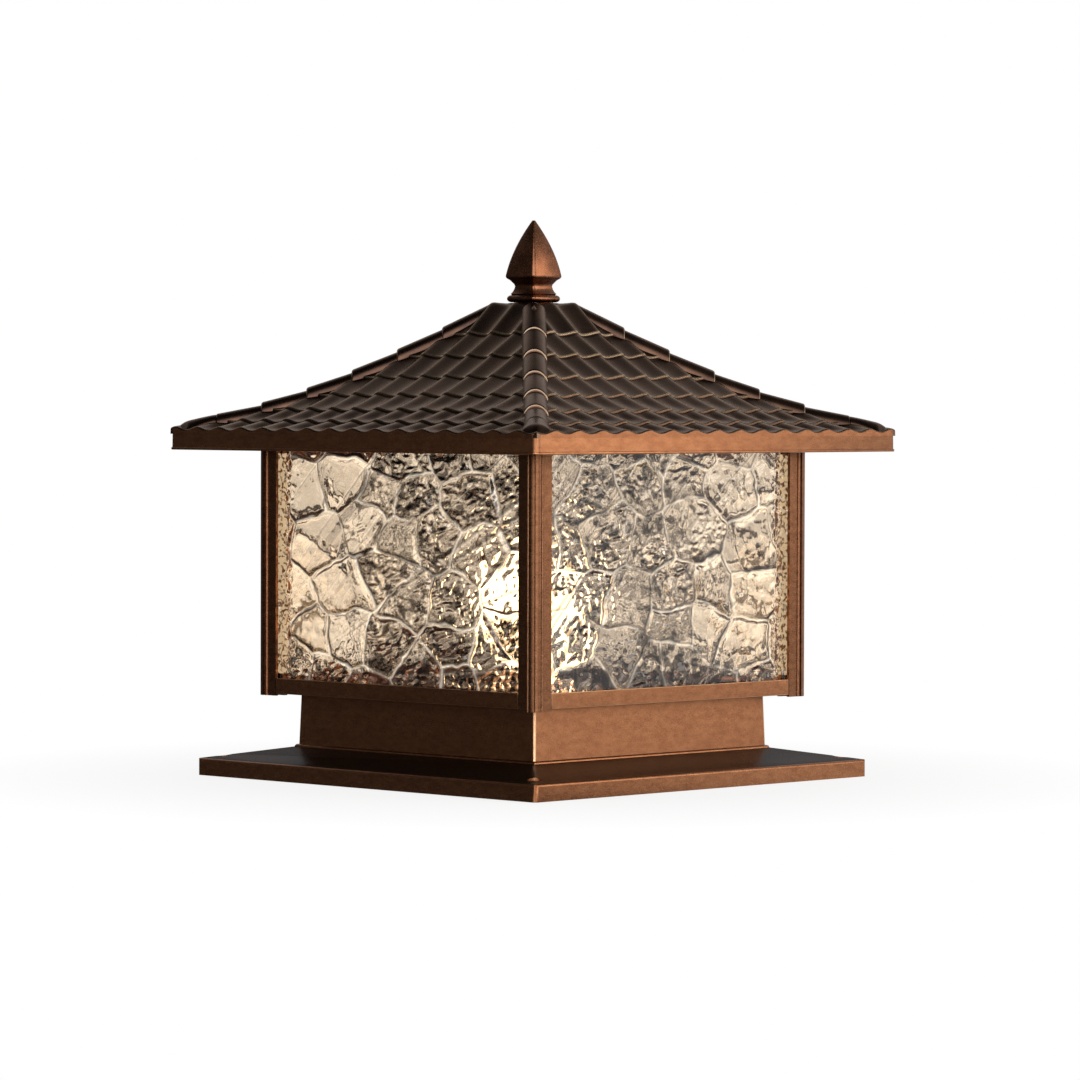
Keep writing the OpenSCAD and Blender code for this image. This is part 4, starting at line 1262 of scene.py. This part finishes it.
    def crown(self) -> BMesh:
        """Makes the block under the finial, with the boss and the stud's hole.

        Returns:
            The new mesh.
        """
        top, hole = self.crown_z, self.stud_hole_r
        foot = self.roof_z(self.crown_half) - 8
        section = [
            (hole, top - self.boss_h), (self.boss_r, top - self.boss_h), (self.boss_r, foot),
            (self.crown_r, foot + 2), (self.crown_r, top - 0.7), (self.crown_r - 0.6, top - 0.12),
            (self.crown_r - 1.4, top), (hole, top),
        ]
        bm = bmesh.new()
        corners = [bm.verts.new((r, 0, z)) for r, z in section]
        edges = [bm.edges.new((corners[i - 1], corners[i])) for i in range(len(corners))]
        bmesh.ops.spin(
            bm, geom=corners + edges, axis=(0, 0, 1), cent=(0, 0, 0), angle=math.tau, steps=64,
            use_merge=True,
        )
        bmesh.ops.remove_doubles(bm, verts=bm.verts, dist=1e-4)
        bmesh.ops.recalc_face_normals(bm, faces=bm.faces)
        return bm

    def seat(self) -> BMesh:
        """Makes the rib under the roof that rests on the foam ring.

        Returns:
            The new mesh.
        """
        low, top = self.rib_z, self.roof_z(self.rib_in + 2) - self.skin / 2
        walls = ((self.rib_in, low), (self.rib_out, low), (self.rib_out, top), (self.rib_in, top))
        return square_ring((half, half * 0.01, z) for half, z in walls)

    def build(self) -> None:
        """Builds the roof's pieces, which stand for the CAD casting."""
        tiles = self.around(self.tile_field)
        place_piece("roof_tiles", tiles, Body.ROOF, TILE_PATINA, ["roof_casting"], 50)
        place_piece("ridge_tiles", self.ridges(), Body.ROOF, TILE_PATINA, (), 50)
        place_piece("eaves_band", self.band(), Body.ROOF, CAST_COPPER)
        place_piece("eaves_skirt", self.around(self.skirt), Body.ROOF, CAST_COPPER)
        place_piece("roof_crown", self.crown(), Body.ROOF, TILE_PATINA)
        place_piece("roof_seat_rib", self.seat(), Body.ROOF, TILE_PATINA)


@dataclass
class SpearFinial:
    """The square spear that screws the roof down, over its washer."""

    foot_z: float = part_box("finial")[0].z / MM
    top_z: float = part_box("finial")[1].z / MM
    wide: float = 12.1
    neck: float = 8.0
    collar: float = 11.5
    bead_r: float = 2.1
    spear_z: float = 14.2
    corner_share: float = 0.17
    bore_r: float = 3.05
    bore_h: float = 24.0

    def walls(self) -> list[tuple[float, float]]:
        """Lists the outline of bead, waist and spear.

        Returns:
            Half widths and heights over the foot, from the foot to the tip.
        """
        turns = [math.radians(a) for a in range(-90, 91, 15)]
        bead = [
            (self.collar - self.bead_r * (1 - math.cos(a)), self.bead_r + self.bead_r * math.sin(a))
            for a in turns
        ]
        waist = [
            (self.neck + 1.9, 4.9), (self.neck + 1.1, 6), (self.neck + 0.4, 7.5), (self.neck, 9.2),
            (self.neck + 0.3, 10.4), (self.neck + 1.2, 11.6), (self.wide - 1.9, 12.9),
            (self.wide - 0.7, 13.7), (self.wide - 0.15, self.spear_z + 0.3),
        ]
        tall = self.top_z - self.foot_z - self.spear_z
        spear = [
            (max(0.5, self.wide * (1 - 0.45 * t - 0.5 * t * t)), self.spear_z + 1 + (tall - 1) * t)
            for t in (i / 20 for i in range(21))
        ]
        return bead + waist + spear

    def build(self) -> None:
        """Lofts the spear over its threaded bore, and dresses the washer."""
        bm = bmesh.new()
        rings = [
            square_loop(bm, half, half * self.corner_share, self.foot_z + h)
            for half, h in self.walls()
        ]
        bore = []
        for z in (self.foot_z + self.bore_h, self.foot_z):
            flat = [Vector((v.co.x, v.co.y, 0)).normalized() * self.bore_r for v in rings[0]]
            bore.append([bm.verts.new((place.x, place.y, z)) for place in flat])
        loft(bm, bore + rings)
        place_piece("spear_finial", bm, Body.FINIAL, FINIAL_COPPER, ["finial"])
        dress(MOULDED_RUBBER, "finial_washer")


@dataclass
class LampInside:
    """Lampholder, bulb and wiring, which keep their CAD shapes and sizes."""

    finishes: tuple[tuple[Finish, str], ...] = (
        (GLAZED_CERAMIC, "lampholder"),
        (SHELL_BRASS, "screw_shell"),
        (SHELL_BRASS, "centre_contact"),
        (ZINC_STEEL, "holder_screws"),
        (ZINC_STEEL, "terminal_screws"),
        (SILICONE_SLEEVE, "lamp_lead"),
        (BLOCK_NYLON, "terminal_block"),
        (CAP_ALUMINIUM, "bulb_cap"),
        (BLACK_GLASS, "cap_insulator"),
        (LIT_GLOBE, "bulb_globe"),
        (STEM_GLASS, "bulb_stem"),
        (LIT_FILAMENT, "bulb_filaments"),
    )

    def build(self) -> None:
        """Dresses each node."""
        for finish, node in self.finishes:
            dress(finish, node)


@dataclass
class Studio:
    """Pale floor, soft light and the camera at the photograph's angle, in metres."""

    azimuth_deg: float = 44.5
    distance: float = 2.924
    height: float = 0.2237
    pitch_deg: float = 1.69
    aim_deg: float = 0.082
    roll_deg: float = 0.17
    lens: float = 167.4
    # Light that matt surfaces get, and what a gloss meets round about, overhead and on the ground
    soft: float = 0.4
    dusk: float = 0.1
    panel: float = 0.82
    front: float = 4.2
    sky: float = 0.7
    zenith: float = 0.16
    ground: float = 1.1
    # Light through the panes from far off and from the ground near by, its shade and its brown
    beyond: float = 0.84
    near: float = 1.25
    shade: float = 0.12
    umber: str = "#9A6644"
    floor_r: float = 40.0
    floor_z: float = -0.0004

    def camera(self) -> None:
        """Sets the camera up."""
        turn = math.radians(self.azimuth_deg)
        data = bpy.data.cameras.new("photo_camera")
        data.lens, data.sensor_width = self.lens, 36.0
        data.clip_start, data.clip_end = 0.05, 60.0
        camera = add_object("photo_camera", data)
        east, south = self.distance * math.sin(turn), -self.distance * math.cos(turn)
        camera.location = (east, south, self.height)
        camera.rotation_mode = "QUATERNION"
        heading = Matrix.Rotation(turn - math.radians(self.aim_deg), 3, "Z")
        level = heading @ Matrix.Rotation(math.radians(90 - self.pitch_deg), 3, "X")
        rolled = level @ Matrix.Rotation(math.radians(self.roll_deg), 3, "Z")
        camera.rotation_quaternion = rolled.to_quaternion()
        bpy.context.scene.camera = camera

    def lamp(
        self, name: str, place: tuple[float, float, float], size: float, watts: float, colour: str
    ) -> None:
        """Hangs a soft square lamp that looks at the lantern.

        Args:
            name: The lamp's name.
            place: Where it hangs.
            size: Its width.
            watts: Its power.
            colour: Its colour.
        """
        data = bpy.data.lights.new(name, "AREA")
        data.size, data.energy, data.color = size, watts, linear(colour)[:3]
        lamp = add_object(name, data)
        lamp.location = place
        lamp.rotation_mode = "QUATERNION"
        lamp.rotation_quaternion = (Vector((0, 0, 0.15)) - Vector(place)).to_track_quat("-Z", "Y")
        lamp.visible_camera = False

    def mirrored(self, tree: NodeTree, place: NodeSocket) -> Node:
        """Light that a gloss meets: a broad panel on the sunny side, one in front, and sky behind.

        Args:
            tree: The world's nodes.
            place: Direction of the ray.

        Returns:
            Strength of the light.
        """
        height = add_node(tree, "SeparateXYZ", (place,)).outputs["Z"]
        sunward, frontward, backward = (
            add_node(tree, "VectorMath", (place, aim), operation="DOT_PRODUCT")
            for aim in (SUNWARD, FRONTWARD, BACKWARD)
        )
        sunny = add_node(tree, "MapRange", (sunward, 0.0, 0.85, self.dusk, self.panel))
        low = add_node(tree, "MapRange", (height, 0.2, 0.7, 1.0, 0.35))
        front = add_node(tree, "MapRange", (frontward, 0.5, 0.9, 0.0, self.front))
        behind = add_node(tree, "MapRange", (backward, 0.3, 0.62))
        low_sky = add_node(tree, "MapRange", (height, 0.24, 0.36))
        sky = add_node(tree, "MapRange", (height, 0.6, 0.82, self.sky, self.zenith))
        sides = add_node(tree, "Math", (sunny, low, front), operation="MULTIPLY_ADD")
        banked = add_node(tree, "Math", (behind, low_sky), operation="MULTIPLY")
        return add_node(tree, "Math", (banked, sky, sides), operation="MULTIPLY_ADD")

    def through_glass(self, tree: NodeTree, place: NodeSocket) -> Node:
        """Light that the panes bend in: white at eye level, with garden shade over it.

        Args:
            tree: The world's nodes.
            place: Direction of the ray.

        Returns:
            Strength of the light.
        """
        height = add_node(tree, "SeparateXYZ", (place,)).outputs["Z"]
        leaves = add_node(tree, "TexNoise", {"Vector": place, "Scale": 9.0, "Detail": 3.0})
        ragged = add_node(tree, "Math", (leaves, 0.3, height), operation="MULTIPLY_ADD")
        # Trunks stand to both sides of the line of sight, so upright edges in the panes show too
        sideways = add_node(tree, "VectorMath", (place, SUNWARD), operation="DOT_PRODUCT")
        turned = add_node(tree, "Math", (sideways, 14.0), operation="MULTIPLY")
        wave = add_node(tree, "Math", (turned,), operation="COSINE")
        trunks = add_node(tree, "Math", (wave, -0.05, ragged), operation="MULTIPLY_ADD")
        return add_node(tree, "MapRange", (trunks, 0.1, 0.2, self.beyond, 0.1))

    def warmed(self, tree: NodeTree, light: Node, through: NodeSocket) -> Node:
        """Colour of the light: white, and brown where little of it comes through the panes.

        Args:
            tree: The node tree.
            light: Strength of the light.
            through: Whether the ray came through glass.

        Returns:
            The colour.
        """
        bright = add_node(tree, "Math", (light, 1.4), operation="MULTIPLY", use_clamp=True)
        plain = add_node(tree, "Mix", {0: through, 2: 1.0, 3: bright})
        return add_node(tree, "Mix", {0: plain, 6: linear(self.umber), 7: WHITE}, data_type="RGBA")

    def world(self) -> None:
        """White for the eye, a panel for the gloss and a soft even light for the rest."""
        world = bpy.data.worlds.new("studio")
        bpy.context.scene.world = world
        world.use_nodes = True
        tree = world.node_tree
        tree.nodes.clear()
        ray = add_node(tree, "LightPath").outputs
        place = add_node(tree, "TexCoord").outputs["Generated"]
        through = ray["Is Transmission Ray"]
        garden = self.through_glass(tree, place)
        mirrored = self.mirrored(tree, place)
        glossy = add_node(tree, "Mix", {0: ray["Is Glossy Ray"], 2: self.soft, 3: mirrored})
        bent = add_node(tree, "Mix", {0: through, 2: glossy, 3: garden})
        seen = add_node(tree, "Mix", {0: ray["Is Camera Ray"], 2: bent, 3: 1.0})
        colour = self.warmed(tree, garden, through)
        light = add_node(tree, "Background", {"Color": colour, "Strength": seen})
        add_node(tree, "OutputWorld", {"Surface": light})

    def floor(self) -> None:
        """Lays a pale floor that stays white far off and holds a soft shadow near the lantern."""
        bm = bmesh.new()
        bmesh.ops.create_circle(bm, cap_ends=True, segments=96, radius=self.floor_r)
        data = bpy.data.meshes.new("floor")
        bm.to_mesh(data)
        bm.free()
        floor = add_object("floor", data)
        floor.location.z = self.floor_z
        material, tree, place = new_material("pale_matt_floor")
        ray = add_node(tree, "LightPath").outputs
        through = ray["Is Transmission Ray"]
        away = add_node(tree, "VectorMath", (place,), operation="LENGTH")
        # What a gloss meets: dusk on the left, the panel's light on the right
        sunward = add_node(tree, "VectorMath", (place, SUNWARD), operation="DOT_PRODUCT")
        backdrop = add_node(
            tree, "MapRange", (sunward, 0.03, 0.17, 0.7 * self.dusk, self.ground * self.panel)
        )
        glossy = add_node(tree, "Mix", {0: ray["Is Glossy Ray"], 2: 1.0, 3: backdrop})
        # What the panes bend in: open ground, dark under the roof
        open_ground = add_node(tree, "MapRange", (away, 0.8, 2.4, self.near, self.beyond))
        under_roof = add_node(tree, "MapRange", (away, 0.35, 0.6, self.shade))
        sunlit = add_node(tree, "Math", (open_ground, under_roof), operation="MULTIPLY")
        strength = add_node(tree, "Mix", {0: through, 2: glossy, 3: sunlit})
        # The eye sees plain white, with part of the real shadow near the lantern
        far = add_node(tree, "MapRange", (away, 0.17, 0.36, 0.86))
        eye = add_node(tree, "Math", (ray["Is Camera Ray"], far), operation="MULTIPLY")
        bounced = add_node(tree, "Math", (ray["Is Glossy Ray"], through), operation="MAXIMUM")
        share = add_node(tree, "Math", (bounced, eye), operation="MAXIMUM")
        matt = add_node(tree, "BsdfDiffuse", {"Color": linear("#F2F0ED")})
        colour = self.warmed(tree, sunlit, through)
        white = add_node(tree, "Emission", {"Color": colour, "Strength": strength})
        mix = add_node(tree, "MixShader", (share, matt, white))
        add_node(tree, "OutputMaterial", {"Surface": mix})
        data.materials.append(material)

    def build(self) -> None:
        """Builds the stage."""
        bpy.context.scene.view_settings.view_transform = "Standard"
        self.camera()
        self.world()
        self.floor()
        self.lamp("sun_side", (2.2, 1.5, 0.9), 1.4, 22, "#FFF4E6")
        self.lamp("front_fill", (0.9, -2.4, 1.9), 1.6, 7, "#F3F4FF")


def main() -> None:
    """Builds the lantern in order, then the stage."""
    logging.basicConfig(level=logging.INFO, format="%(name)s: %(message)s")
    for part in (BaseAndPlinth, LanternBody, FiguredPanes, TiledRoof, SpearFinial, LampInside, Studio):
        part().build()


if __name__ == "__main__":
    main()
